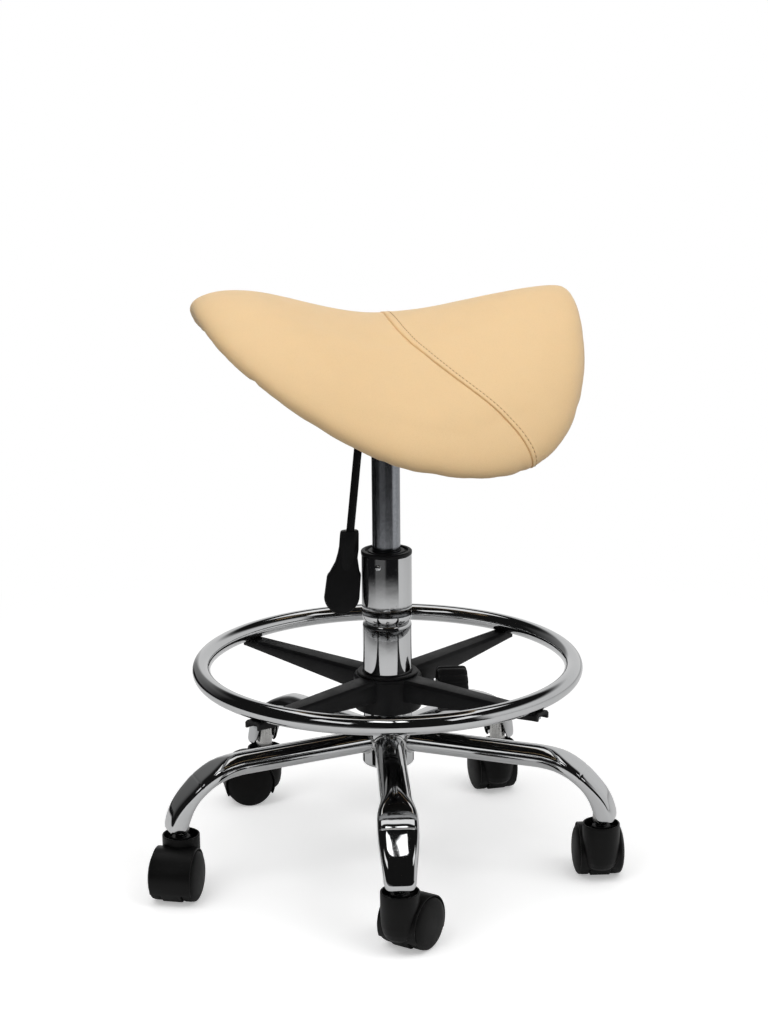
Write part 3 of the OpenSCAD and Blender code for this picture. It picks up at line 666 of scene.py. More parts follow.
def cut_below(bm, verts, height):
    """Cut the given vertices' shapes level at a height, and close the cut."""
    edges = list({e for v in verts for e in v.link_edges})
    faces = list({f for v in verts for f in v.link_faces})
    cut = bmesh.ops.bisect_plane(bm, geom=verts + edges + faces, plane_co=(0, 0, height),
                                 plane_no=(0, 0, -1), clear_outer=True)
    rim = [g for g in cut["geom_cut"] if isinstance(g, bmesh.types.BMEdge)]
    bmesh.ops.triangle_fill(bm, edges=rim, use_beauty=True)


def hood(k):
    bm = bmesh.new()
    # the web between the wheels, and the fender over them
    for inner, outer, half, rounding, foot in ((3.1, WEB_R, WEB_HALF, 1.0, 3.4),
                                               (FENDER_R - FENDER_T, FENDER_R, FENDER_HALF, 0.7, 13.2)):
        made = lathe(bm, [(inner, -half), (outer, -half), (outer, half), (inner, half)], 96, rounding,
                     place=along_axle(1))
        cut_below(bm, made, foot)
    # the boss round the stem: a rounded shield in front, and a cup above
    shield = [(0, 12.2), (6.5, 12.3), (11.2, 13.8), (14.6, 17), (16.7, 22), (17.8, 28), (18.3, 36),
              (BOSS_R, 47)]
    cup = [(BOSS_R, BOSS_TOP), (BOSS_R - 1.7, BOSS_TOP), (16.4, CUP_FLOOR), (9.4, CUP_FLOOR),
           (9.2, BOSS_TOP - 2.2), (5.7, BOSS_TOP - 2.2), (5.6, 46), (0, 46)]
    lathe(bm, shield + cup, 72, 0.8, closed=False)
    for j in range(8):
        box(bm, (7.4, 1.3, 8.5), (12.8, 0, 50.5), TURN * (j + 0.5) / 8)
    bmesh.ops.transform(bm, matrix=caster_frame(k), verts=bm.verts)
    finish_piece(f"caster_{k + 1}_hood_shell", bm, f"caster_{k + 1}", HOOD,
                 [f"caster_{k + 1}_hood"], sharp=38)


def wheel(k, side):
    """A wheel: the tread, and a domed outer disc with a shallow groove round it."""
    bm = bmesh.new()
    inner_face, tread_edge, groove_r, dome_top = 11, 17.2, WHEEL_R - 0.7, 25.95
    dome = [(WHEEL_R * math.cos(a) - 0.15, 19.2 + 6.7 * math.sin(a) ** 0.85)
            for a in (math.radians(6 * j) for j in range(2, 15))]
    lathe(bm, [(0, inner_face), (3.1, inner_face), (20, inner_face), (20.5, 12.2), (23.4, 12.2),
               (24.1, 10.7), (24.7, 10.9), (WHEEL_R, 12), (WHEEL_R, tread_edge),
               (WHEEL_R - 0.25, 18.0), (groove_r, 18.25), (groove_r, 18.75),
               (WHEEL_R - 0.2, 19.1)] + dome + [(0, dome_top)], 80, closed=False)
    bmesh.ops.transform(bm, matrix=caster_frame(k) @ along_axle(side), verts=bm.verts)
    node = f"caster_{k + 1}_wheel_{'b' if side > 0 else 'a'}"
    finish_piece(f"{node}_disc", bm, f"{node}_body", TYRE, [node], sharp=50)


# ---------------------------------------------------------------- foot ring


def foot_ring():
    turned_piece("foot_ring_tube", [(RING_R + RING_TUBE_R * math.cos(a), RING_Z + RING_TUBE_R * math.sin(a))
                                    for a in turns(40)], 240, 0, "foot_rest", CHROME, "foot_ring")


def ring_liner():
    bore_r, lip_z = SLIDE_R + 0.1, LINER_TOP - 2
    turned_piece("ring_liner_collar", [
        (bore_r, LINER_BOTTOM), (28, LINER_BOTTOM), (28, lip_z), (30.5, lip_z), (30.5, LINER_TOP - 0.5),
        (29.4, LINER_TOP), (SLIDE_R + 1.2, LINER_TOP), (bore_r, LINER_TOP - 1)],
        112, 0.6, "ring_carrier", PLASTIC, "ring_liner")


def spoke_loop(x):
    """Section of a spoke at a distance from the axis: a channel with bevelled upper edges."""
    t = (x - SPOKE_START) / (SPOKE_END - SPOKE_START)
    half, bottom, bevel = 12.5 - 3.6 * t, 178 + 14.8 * t, 3 - 0.6 * t
    inside, roof, top = half - SPOKE_WALL, SPIDER_TOP - 3.4, SPIDER_TOP
    if abs(x - RING_R) < RING_TUBE_R:
        # a seat for the ring
        top = min(top, RING_Z - math.sqrt(RING_TUBE_R ** 2 - (x - RING_R) ** 2))
    right = [(inside - 1, roof), (inside, roof - 1), (inside + 0.1, bottom), (half, bottom),
             (half, top - bevel), (half - bevel, top)]
    left = [(-y, z) for y, z in reversed(right)]
    return [Vector((x, y, z)) for y, z in left[2:] + right + left[:2]]


def spider():
    bm = bmesh.new()
    bore_r = 28.1
    lathe(bm, [(bore_r, SPIDER_BOTTOM), (SPIDER_R - 0.8, SPIDER_BOTTOM), (SPIDER_R, SPIDER_BOTTOM + 1.5),
               (SPIDER_R, SPIDER_TOP - 2.6), (SPIDER_R - 1.8, SPIDER_TOP), (bore_r, SPIDER_TOP)], 96, 0.5)
    stations = [30, 60, 100, 140, 170, 180.2, 182.6, 184.4, 186, 187.6, 189.4, 191.8, SPOKE_END]
    for j in range(4):
        spoke_turn = SPOKE_TURN + 90 * j
        old = set(bm.verts)
        sweep(bm, [spoke_loop(x) for x in stations])
        soften_edges(bm, 0.6, 28, 2, {f for v in bm.verts if v not in old for f in v.link_faces})
        made = [v for v in bm.verts if v not in old]
        bmesh.ops.transform(bm, matrix=turned(spoke_turn), verts=made)
        # the seat of the ring's screw
        lathe(bm, [(2.7, 195), (5.5, 195), (5.5, 199), (2.7, 199)], 32, 0.4,
              place=turned(spoke_turn, RING_R))
    # the boss that the clamp's screw runs in
    lathe(bm, [(6.6, 0), (11, 0), (11, 16.4), (9.8, 17.4), (6.6, 17.4)], 48, 0.6,
          place=turned(CLAMP_TURN, 29.5, 0, CLAMP_Z) @ LIE_ALONG_X)
    finish_piece("spider_casting", bm, "foot_rest", POWDER, ["spider"])


def clamp_knob():
    """A fluted knob with a dished outer face."""
    bm = bmesh.new()
    sides = [(0, 0.62), (0, 0.9), (1.4, 0.975), (3.4, 1.0), (20, 1.0), (26.4, 1.0), (28.6, 0.97),
             (29.7, 0.9), (30, 0.8)]
    dish = [(29.4, 0.66), (28.7, 0.4), (28.5, 0.1)]
    loops = []
    for x, share in sides + dish:
        depth = 0 if (x, share) in dish else FLUTE_DEPTH * (smooth(0, 6, x) * 0.5 + 0.5)
        loop = []
        for a in turns(144):
            flute = math.cos(KNOB_FLUTES * a) * 0.5 + 0.5
            r = KNOB_R * share - depth * flute ** 2
            loop.append(Vector((x, r * math.cos(a), r * math.sin(a))))
        loops.append(loop)
    sweep(bm, loops)
    bmesh.ops.transform(bm, matrix=turned(CLAMP_TURN, KNOB_START, 0, CLAMP_Z), verts=bm.verts)
    finish_piece("clamp_hand_knob", bm, "clamp_handle", PLASTIC, ["clamp_knob"], sharp=42)


# ---------------------------------------------------------------- lever


def along_hang(distance):
    """A point down the hanging part of the rod, from its elbow."""
    lean = math.radians(LEVER_LEAN)
    return Vector((0, ELBOW_Y, ARM_Z)) + Vector((0, -math.sin(lean), -math.cos(lean))) * distance


def lever_rod():
    bm = bmesh.new()
    path = [Vector((0, 4.5, ARM_Z)), Vector((0, -5, ARM_Z))]
    path += curve(Vector((0, ELBOW_Y + ELBOW_R, ARM_Z)), along_hang(0), along_hang(ELBOW_R), 8)
    path += [along_hang(d) for d in (20, 60, 100, 150, ROD_LENGTH)]
    across = Vector((1, 0, 0))
    loops = []
    for i, p in enumerate(path):
        along = (path[min(i + 1, len(path) - 1)] - path[max(i - 1, 0)]).normalized()
        loops.append(tube_loop(p, across, along.cross(across), ROD_R, 24))
    sweep(bm, loops)
    soften_edges(bm, 0.5, 60)
    finish_piece("lever_rod_bar", bm, "lever", POWDER, ["lever_rod"], sharp=50)


def arc(y, z, r, start, end, steps):
    """Points of an arc across the paddle."""
    angles = [math.radians(start + (end - start) * k / steps) for k in range(steps + 1)]
    return [(y + r * math.cos(a), z + r * math.sin(a)) for a in angles]


def lever_paddle():
    """A flat moulded blade with a thicker neck that grips the rod."""
    bm = bmesh.new()
    blade = ([(-27.8, 348.6), (-28.2, 330), (-29.4, 321)] + arc(-34.2, 303, 8, 35, 0, 4)
             + arc(-45.5, 282.3, 17.7, 0, -180, 24) + arc(-51.4, 301, 9, 180, 130, 5)
             + [(-51.4, 318), (-48.9, 326), (-47.0, 335), (-45.8, 348.6)])
    face = bm.faces.new([bm.verts.new((-BLADE_HALF_T, y, z)) for y, z in blade])
    far = bmesh.ops.extrude_face_region(bm, geom=[face])["geom"]
    bmesh.ops.translate(bm, vec=(2 * BLADE_HALF_T, 0, 0),
                        verts=[g for g in far if isinstance(g, bmesh.types.BMVert)])
    soften_edges(bm, 2.6, 60, 5)
    # the neck, thick where it holds the rod and fading into the blade
    loops = []
    for z, half_x, half_y in ((349, 5.0, 8.0), (348.4, 6.0, 8.8), (346, 6.5, 9.2), (334, 6.0, 9.0),
                              (324, 5.2, 8.6), (314, 4.5, 7.8), (304, 3.4, 6.2)):
        middle = -36.8 - (349 - z) * math.tan(math.radians(LEVER_LEAN))
        loops.append([Vector((half_x * signed_power(math.cos(a), 0.72),
                              middle + half_y * signed_power(math.sin(a), 0.72), z))
                      for a in turns(40)])
    sweep(bm, loops)
    finish_piece("lever_paddle_grip", bm, "lever", PLASTIC, ["lever_paddle"], sharp=40)


# ---------------------------------------------------------------- saddle surface


def outline(turn):
    """A point of the seat's outline: turn 0 is the rear, 180 the nose."""
    t = math.radians(turn)
    return (SEAT_HALF_WIDTH * signed_power(math.sin(t), 2 / OUTLINE_POWER) * (1 + PEAR * math.cos(t)),
            SEAT_LENGTH / 2 * signed_power(math.cos(t), 2 / OUTLINE_POWER))


def rise_to(distance, reach):
    """A smooth rise that is 0 at the dip and 1 at its reach."""
    return math.sin(math.pi / 2 * min(max(0, distance) / reach, 1.5)) ** 2


def mid_z(x, y):
    """Height of the pad's middle surface."""
    along = y / FLANK_REACH
    drop = FLANK_DROP + FLANK_TILT * along + FLANK_BOW * along ** 2
    return (SEAT_MID_Z + NOSE_RISE * rise_to(-y, NOSE_REACH) + REAR_RISE * rise_to(y, REAR_REACH)
            - drop * (math.hypot(x, RIDGE_ROUND) / SEAT_HALF_WIDTH) ** FLANK_POWER)


def mid_normal(x, y):
    return Vector((mid_z(x - 1, y) - mid_z(x + 1, y), mid_z(x, y - 1) - mid_z(x, y + 1), 2)).normalized()


def rear_share(turn):
    """1 at the rear of the seat, 0 from the flanks forward."""
    return max(0, math.cos(math.radians(turn))) ** 3


def rim_power(share):
    """How square the rim is, at a share of the way from the flanks to the rear."""
    return RIM_POWER + REAR_SQUARE * share


def rim_round(share, power):
    """Share of the full thickness left at a share of the way to the rim."""
    return max(0, 1 - share ** power) ** (1 / RIM_CURVE)


def pad_section(power):
    """Points round the pad's section, from the ridge over the rim to the middle of the underside:
    the distance, the share of the outline and the share of the half thickness at each."""
    flat_share, flat_steps, rim_steps, mean_reach = 0.6, 60, 300, 190
    flat = [flat_share * i / flat_steps for i in range(flat_steps)]
    start = math.acos(rim_round(flat_share, power))
    rim = [math.cos(start + (math.pi - 2 * start) * i / rim_steps) for i in range(rim_steps + 1)]
    points = [(s, rim_round(s, power)) for s in flat]
    points += [((1 - abs(t) ** RIM_CURVE) ** (1 / power), t) for t in rim]
    points += [(s, -rim_round(s, power)) for s in reversed(flat)]
    distances = [0.0]
    for (s0, t0), (s1, t1) in zip(points, points[1:]):
        distances.append(distances[-1] + math.hypot(mean_reach * (s1 - s0), PAD_HALF_T * (t1 - t0)))
    return distances, points


def landmarks(section):
    """Distances of the ridge, the rim, the hem and the middle of the underside in a section."""
    distances, points = section
    rim = next(d for d, (s, t) in zip(distances, points) if t <= 0)
    hem = next(d for d, (s, t) in zip(distances, points) if t < 0 and s < HEM_SHARE)
    return 0.0, rim, hem, distances[-1]


# Sections from the flanks' to the rear's
SECTION_STEPS = 4
SECTIONS = [pad_section(rim_power(i / SECTION_STEPS)) for i in range(SECTION_STEPS + 1)]
MARKS_AT = [landmarks(section) for section in SECTIONS]
RIM_AT, HEM_AT, POLE_AT = MARKS_AT[0][1:]


def on_section(i, distance):
    """Shares of outline and thickness at a distance, measured on the flanks' section."""
    part = 1 if distance <= RIM_AT else 2 if distance <= HEM_AT else 3
    low, high = MARKS_AT[0][part - 1], MARKS_AT[0][part]
    own_low, own_high = MARKS_AT[i][part - 1], MARKS_AT[i][part]
    distance = own_low + (own_high - own_low) * (distance - low) / (high - low)
    distances, points = SECTIONS[i]
    j = min(max(1, bisect_left(distances, distance)), len(distances) - 1)
    t = min(1, max(0, (distance - distances[j - 1]) / (distances[j] - distances[j - 1])))
    (s0, t0), (s1, t1) = points[j - 1], points[j]
    return s0 + (s1 - s0) * t, t0 + (t1 - t0) * t


def section_at(distance, turn=90.0):
    """Shares of outline and thickness at a distance along the skin, at a turn."""
    place = SECTION_STEPS * rear_share(turn)
    i = min(SECTION_STEPS - 1, int(place))
    s0, t0 = on_section(i, distance)
    if place == 0:
        return s0, t0
    s1, t1 = on_section(i + 1, distance)
    return s0 + (s1 - s0) * (place - i), t0 + (t1 - t0) * (place - i)


def pad_at(a, b, half_t=PAD_HALF_T, inset=0.0):
    """A point of the pad's skin, from its place on the skin laid flat round the middle of the ridge."""
    turn = math.degrees(math.atan2(a, b))
    share, thickness = section_at(math.hypot(a, b), turn)
    share *= 1 - inset / SEAT_HALF_WIDTH
    x, y = (c * share for c in outline(turn))
    up = mid_normal(x, y)
    if thickness > 0:
        # the upper edge of the rear stands straight up
        up = up.lerp(Vector((0, 0, 1)), UPRIGHT_REAR * rear_share(turn) * share ** 2).normalized()
    return Vector((x, y, mid_z(x, y))) + up * half_t * thickness


def pad_normal(a, b, e=0.8):
    return (pad_at(a + e, b) - pad_at(a - e, b)).cross(pad_at(a, b + e) - pad_at(a, b - e)).normalized()


def flat_place(turn, distance):
    """A place on the flat skin, at a turn in radians and a distance from the middle."""
    return Vector((math.sin(turn), math.cos(turn))) * distance


def seam_at(distance):
    """Place on the flat skin of a point of the seam, at a distance to the right (+) or left (-)."""
    far = abs(distance)
    share = section_at(far)[0] if far < RIM_AT else 1
    place = flat_place(math.radians(90 - SEAM_SWEEP * math.sin(math.pi / 2 * share) ** 2), far)
    place.x = math.copysign(place.x, distance)
    return place


def polar_grid(bm, columns, rows, place):
    """A grid wrapped round a pole, with each vertex placed by its turn and its share of the way."""
    made = bmesh.ops.create_grid(bm, x_segments=columns, y_segments=rows, size=1)["verts"]
    for v in made:
        v.co = place(TURN * (v.co.x + 1) / 2, (v.co.y + 1) / 2)
    bmesh.ops.remove_doubles(bm, verts=made, dist=0.02)


# Small gathers of the cover round the rim: turn, width in degrees and depth
GATHER_COUNT = 52
gathers = random.Random(11)
GATHERS = [(360 * (i + gathers.uniform(0.1, 0.9)) / GATHER_COUNT, gathers.uniform(0.8, 2.2),
            0.35 + 1.3 * gathers.random() ** 3) for i in range(GATHER_COUNT)]


def gather_depth(a, b):
    """How far the gathers pull the cover in, from just above the rim to the hem."""
    distance = math.hypot(a, b)
    if distance < RIM_AT - 22:
        return 0
    turn = math.degrees(math.atan2(a, b)) % 360
    near = 0
    for at, width, depth in GATHERS:
        off = abs(turn - at)
        off = min(off, 360 - off)
        if off < 4 * width:
            near += depth * math.exp(-(off / width) ** 2)
    folds = 0.5 + 0.5 * math.sin(math.radians(turn * 46) + 3 * math.sin(math.radians(turn * 5)))
    return (near * smooth(RIM_AT - 14, RIM_AT + 10, distance)
            + 0.7 * folds * smooth(RIM_AT + 8, HEM_AT - 4, distance))


def wave_height(point):
    return WAVE_HEIGHT * noise.noise(point * WAVE_SCALE)


# ---------------------------------------------------------------- seat


def apply_modifiers(piece):
    """Replace a piece's mesh by what its modifiers make of it."""
    depsgraph = bpy.context.evaluated_depsgraph_get()
    mesh = bpy.data.meshes.new_from_object(piece.evaluated_get(depsgraph))
    piece.modifiers.clear()
    old, piece.data = piece.data, mesh
    mesh.name = old.name
    bpy.data.meshes.remove(old)
    mesh.shade_smooth()


def evened(moves, links):
    """The moves of a mesh's vertices, each averaged with its neighbours' again and again."""
    for _ in range(EVENING_ROUNDS):
        sums, counts = [moved.copy() for moved in moves], [1] * len(moves)
        for pair in links:
            for v, other in (pair, pair[::-1]):
                sums[v] += moves[other]
                counts[v] += 1
        moves = [total / count for total, count in zip(sums, counts)]
    return moves


def swell_pad(pad, frames=20):
    """Blow the pad up a little as cloth under pressure, held where it is glued to the board."""
    remesh = pad.modifiers.new("even_mesh", "REMESH")
    remesh.mode, remesh.voxel_size = "VOXEL", 0.006
    apply_modifiers(pad)
    start = [v.co.copy() for v in pad.data.vertices]
    glued = pad.vertex_groups.new(name="glued_to_board")
    glued.add([v.index for v in pad.data.vertices
               if v.co.z / MM < mid_z(v.co.x / MM, v.co.y / MM) - GLUED_DEPTH], 1, "REPLACE")
    cloth = pad.modifiers.new("swelling", "CLOTH")
    settings = cloth.settings
    settings.quality, settings.mass, settings.bending_stiffness = 6, 0.3, 1.5
    settings.tension_stiffness = settings.compression_stiffness = 15
    settings.use_pressure, settings.uniform_pressure_force = True, 4
    settings.vertex_group_mass = glued.name
    settings.effector_weights.gravity = 0
    cloth.point_cache.frame_start, cloth.point_cache.frame_end = 1, frames
    for number in range(1, frames + 1):
        bpy.context.scene.frame_set(number)
    apply_modifiers(pad)
    bpy.context.scene.frame_set(1)
    moves = []
    for v, before in zip(pad.data.vertices, start):
        moved = v.co - before
        moves.append(moved.normalized() * min(moved.length, SWELL_CAP * MM))
    moves = evened(moves, [tuple(edge.vertices) for edge in pad.data.edges])
    for v, before, moved in zip(pad.data.vertices, start, moves):
        v.co = before + moved


def seat_foam():
    """The foam pad, which starts slightly smaller than its full shape."""
    bm = bmesh.new()
    polar_grid(bm, 110, 84, lambda turn, share: pad_at(
        *flat_place(turn, POLE_AT * share), PAD_HALF_T - SWELL_CAP, FOAM_INSET))
    pad = finish_piece("seat_foam_pad", bm, "seat", FOAM, ["seat_foam"], sharp=80)
    swell_pad(pad)
    return pad


def swelling_of(pad):
    """How far the swollen pad stands out of its plain shape, as a function of place and normal."""
    bm = bmesh.new()
    bm.from_mesh(pad.data)
    tree = BVHTree.FromBMesh(bm)
    bm.free()
    reach = 14

    def swelling(point, normal):
        hit = tree.ray_cast((point + normal * reach) * MM, -normal, 0.04)
        return 0.0 if hit[0] is None else min(2.0, max(-1.5, reach - hit[3] / MM))

    return swelling


# Distances of the rows that shape the seam, from it into a panel
SEAM_ROWS = [0, 0.35, 0.8, 1.4, 2.2, 3.4, 4.8, 5.5, 5.9, 6.3, 6.7, 7.1, 7.8, 9.5, 12]
HEM_TURN = 90 - SEAM_SWEEP


def panel_line(u, rear):
    """The flat places of a panel's line from the seam to the hem: its start, direction and length."""
    start = seam_at(u * HEM_AT)
    angle = HEM_TURN * u if rear else math.copysign(180 - (180 - HEM_TURN) * abs(u), u)
    across = flat_place(math.radians(angle), HEM_AT) - start
    return start, across / max(across.length, 1e-6), across.length


def seam_lift(distance, rear):
    """How far a panel stands out near the seam, with its folded edge and its row of stitches."""
    if not rear:
        return -1.5 + 1.5 * smooth(-0.3, 1.9, distance)
    return (-1.4 + 2.1 * smooth(-0.6, 0.9, distance) - 0.45 * smooth(7, 13, distance)
            - 0.6 * math.exp(-((distance - STITCH_INSET) / 0.7) ** 2))


def cover(name, rear, swelling):
    """One panel of the cover: rows run from the seam, over the rim, to the hem under it."""
    columns, rows = 168, 92
    bm = bmesh.new()
    lines = {}
    for v in bmesh.ops.create_grid(bm, x_segments=columns, y_segments=rows, size=1)["verts"]:
        lines.setdefault(round((v.co.x + 1) / 2 * columns), []).append(v)
    normals = {}
    for i, line in lines.items():
        line.sort(key=lambda v: v.co.y)
        u = 2 * i / columns - 1
        # the lines stand closer together towards the ends of the seam
        start, along, length = panel_line(math.copysign(1 - (1 - abs(u)) ** 1.15, u), rear)
        # near those ends the panel is short, and the rows along the seam squeeze together
        squeeze = min(1, length / 70)
        near = [d * squeeze for d in SEAM_ROWS]
        for j, v in enumerate(line):
            d = near[min(j, len(near) - 1)]
            if j >= len(near):
                d += (length - d) * (j - len(near) + 1) / (rows - len(near) + 1)
            place = start + along * min(d, length)
            point, normal = pad_at(*place), pad_normal(*place)
            lift = seam_lift(d / max(squeeze, 0.05), rear) * smooth(0, 0.25, squeeze)
            lift += wave_height(point) + 0.16 * noise.noise(point * 0.06)
            lift += swelling(point, normal) - gather_depth(*place)
            v.co = point + normal * lift
            normals[v] = normal
    # the hem's cut edge, seen from below
    rim = [e for e in bm.edges if e.is_boundary]
    made = bmesh.ops.extrude_edge_only(bm, edges=rim)["geom"]
    for v in (g for g in made if isinstance(g, bmesh.types.BMVert)):
        base = next((e.other_vert(v) for e in v.link_edges if e.other_vert(v) in normals), None)
        if base is not None:
            v.co = base.co - normals[base] * 1.1
    bmesh.ops.remove_doubles(bm, verts=bm.verts, dist=0.02)
    piece = finish_piece(name + "_panel", bm, "seat", LEATHER, [name], sharp=75)


def seam_stitches(swelling):
    """The row of stitches that holds the rear panel's folded edge down."""
    bm = bmesh.new()
    travelled, before, step = 0.0, None, 0.5
    reach = HEM_AT - 10
    for n in range(int(2 * reach / step) + 1):
        start, toward, _ = panel_line((n * step - reach) / HEM_AT, rear=True)
        place = start + toward * STITCH_INSET
        point, normal = pad_at(*place), pad_normal(*place)
        if before is not None:
            travelled += (point - before).length
            if travelled >= STITCH_PITCH:
                travelled -= STITCH_PITCH
                along = (point - before).normalized()
                lift = 0.4 + swelling(point, normal) - gather_depth(*place)
                lift += wave_height(point)
                lie = Matrix((along, normal.cross(along).normalized(), normal)).transposed().to_4x4()
                bmesh.ops.create_uvsphere(
                    bm, u_segments=10, v_segments=6, radius=1,
                    matrix=Matrix.Translation(point + normal * lift) @ lie
                    @ Matrix.Diagonal((*STITCH_SIZE, 1)))
        before = point
    finish_piece("seam_stitches", bm, "seat", THREAD, sharp=80)


def seat_board():
    """The painted shell under the foam, inside the cover's hem."""
    bm = bmesh.new()

    def place(turn, share):
        turn = math.degrees(turn)
        share *= BOARD_SHARE
        x, y = (c * share for c in outline(turn))
        thickness = BOARD_HALF_T * rim_round(share, rim_power(rear_share(turn)))
        return Vector((x, y, mid_z(x, y))) - mid_normal(x, y) * thickness

    polar_grid(bm, 120, 44, place)
    piece = finish_piece("seat_board_shell", bm, "seat", BOARD, ["seat_board"], sharp=80)
    wall = piece.modifiers.new("board_thickness", "SOLIDIFY")
    wall.thickness, wall.offset = 0.004, 1


def hem_staples():
    """Wire staples that hold the cover's hem to the board."""
    bm = bmesh.new()
    count, half_length, wire_r = 58, 5, 0.5
    chance = random.Random(5)
    for i in range(count):
        turn = math.radians(360 * (i + 0.3 * chance.random()) / count)
        flat = flat_place(turn, HEM_AT - 6 - 1.5 * chance.random())
        step = Vector((math.cos(turn), -math.sin(turn)))
        point, normal = pad_at(*flat), pad_normal(*flat)
        along = (pad_at(*(flat + step)) - pad_at(*(flat - step))).normalized()
        along = Matrix.Rotation(chance.uniform(-0.3, 0.3), 3, normal) @ along
        top = point + normal * (0.35 - gather_depth(*flat))
        leg_out, leg_down = along * (half_length + 0.2), normal * 2
        bent_tube(bm, [top - leg_out - leg_down, top - along * half_length, top + along * half_length,
                       top + leg_out - leg_down], wire_r, 8)
    finish_piece("hem_staples", bm, "seat", STAPLE_WIRE, sharp=60)


def seat_plate():
    bm = bmesh.new()
    box(bm, PLATE_SIZE, (0, 0, PLATE_Z))
    upright = [e for e in bm.edges if abs(e.verts[0].co.z - e.verts[1].co.z) > 1]
    bmesh.ops.bevel(bm, geom=upright, offset=12, offset_type="OFFSET", affect="EDGES", segments=8,
                    profile=0.5, clamp_overlap=True, material=-1)
    soften_edges(bm, 0.7, 60)
    finish_piece("seat_plate_pressing", bm, "seat", POWDER, ["seat_plate"])


def seat_socket():
    bore_r, outer_r, top = GAS_R + 0.1, 17.5, PLATE_Z - PLATE_SIZE[2] / 2
    turned_piece("seat_socket_cone", [
        (bore_r, 426), (outer_r, 426), (outer_r, 488.5), (19.4, 492.3), (20, top), (bore_r, top),
        (bore_r, 480), (13, 478)], 96, 0.9, "seat", POWDER, "seat_socket")


# ---------------------------------------------------------------- the stool

for make in (column_tube, top_bushing, tube_rivet, pressure_tube, base_hub, leg_welds, stem_sockets,
             foot_ring, ring_liner, spider, clamp_knob, lever_rod, lever_paddle):
    make()
for k in range(5):
    leg(k)
    hood(k)
    wheel(k, -1)
    wheel(k, 1)

seat_pad = seat_foam()
swollen = swelling_of(seat_pad)
# the cover's soft backing lies between the foam and the skin
for v in seat_pad.data.vertices:
    v.co -= v.normal * COVER_BACKING * MM
cover("front_cover", False, swollen)
cover("rear_cover", True, swollen)
seam_stitches(swollen)
for make in (seat_board, hem_staples, seat_plate, seat_socket):
    make()

# CAD solids that keep their own shape
for material, nodes in (
        (BRIGHT, ["piston_rod", "thrust_bearing", "valve_pin", "lever_pivot"]),
        (BRIGHT, [f"caster_{k}_pins" for k in range(1, 6)]),
        (ZINC, ["base_clip", "seat_bolts", "t_nuts", "ring_screws", "clamp_stud"]),
        (BRASS, ["valve_body", "clamp_nut", "clamp_shoe"]), (PLYWOOD, ["mount_block"]),
        (RUBBER, ["piston", "rubber_bumper"]), (PLASTIC, ["rod_guide"])):
    for node in nodes:
        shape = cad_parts[node]
        shape.data.materials.clear()
        shape.data.materials.append(material)

# ---------------------------------------------------------------- stage, light and camera

VIEW_AZIMUTH = math.radians(78)
TO_CAMERA = Vector((math.sin(VIEW_AZIMUTH), -math.cos(VIEW_AZIMUTH), 0))
TO_RIGHT = Vector((math.cos(VIEW_AZIMUTH), math.sin(VIEW_AZIMUTH), 0))
CAMERA_PLACE, LENS = (1.9496, -0.4144, 0.8469), 73.18
PITCH, YAW, ROLL = 13.58, 0.058, -0.55
MIDDLE = (0, 0, 0.3)
FLOOR_LIFT, FLOOR_BOUNCE = 0.35, 0.42
SWEEP_LEVEL, ABOVE_LEVEL, ROOM_LEVEL, AMBIENT_LEVEL = 0.82, 1.3, 0.012, 0.5
# Bright panels that the metal mirrors: turn from the camera, half width, height, half height in
# degrees, and level
PANELS = [(-6.9, 11.1, 60, 7.5, 2.6), (11.8, 5.2, 60, 7.5, 2.6), (-36, 14, 24, 8, 1.3),
          (50, 12, 24, 8, 1.3)]
PANEL_SPLIT, PANEL_SLANT = 5.4, 0.34
WHITE = (1, 1, 1)


def light_path(tree, *names):
    """1 for the rays of any of the given kinds."""
    node = add(tree, "LightPath")
    value = node.outputs[names[0]]
    for name in names[1:]:
        value = calc(tree, "MAXIMUM", value, node.outputs[name])
    return value


def ahead_and_aside(tree, vector):
    """How far a vector points towards the camera, and to its right."""
    return [add(tree, "VectorMath", {0: vector, 1: direction}, operation="DOT_PRODUCT").outputs["Value"]
            for direction in (TO_CAMERA, TO_RIGHT)]


def by_turn(tree, turn, *stops):
    """A grey ramp round the stool: 0 is behind it, a quarter its left, a half the camera's side."""
    return ramp(tree, calc(tree, "MULTIPLY_ADD", turn, 1 / TURN, 0.5), *stops)


def emission(tree, colour, strength=1.0):
    return add(tree, "Emission", {"Color": colour, "Strength": strength}).outputs[0]


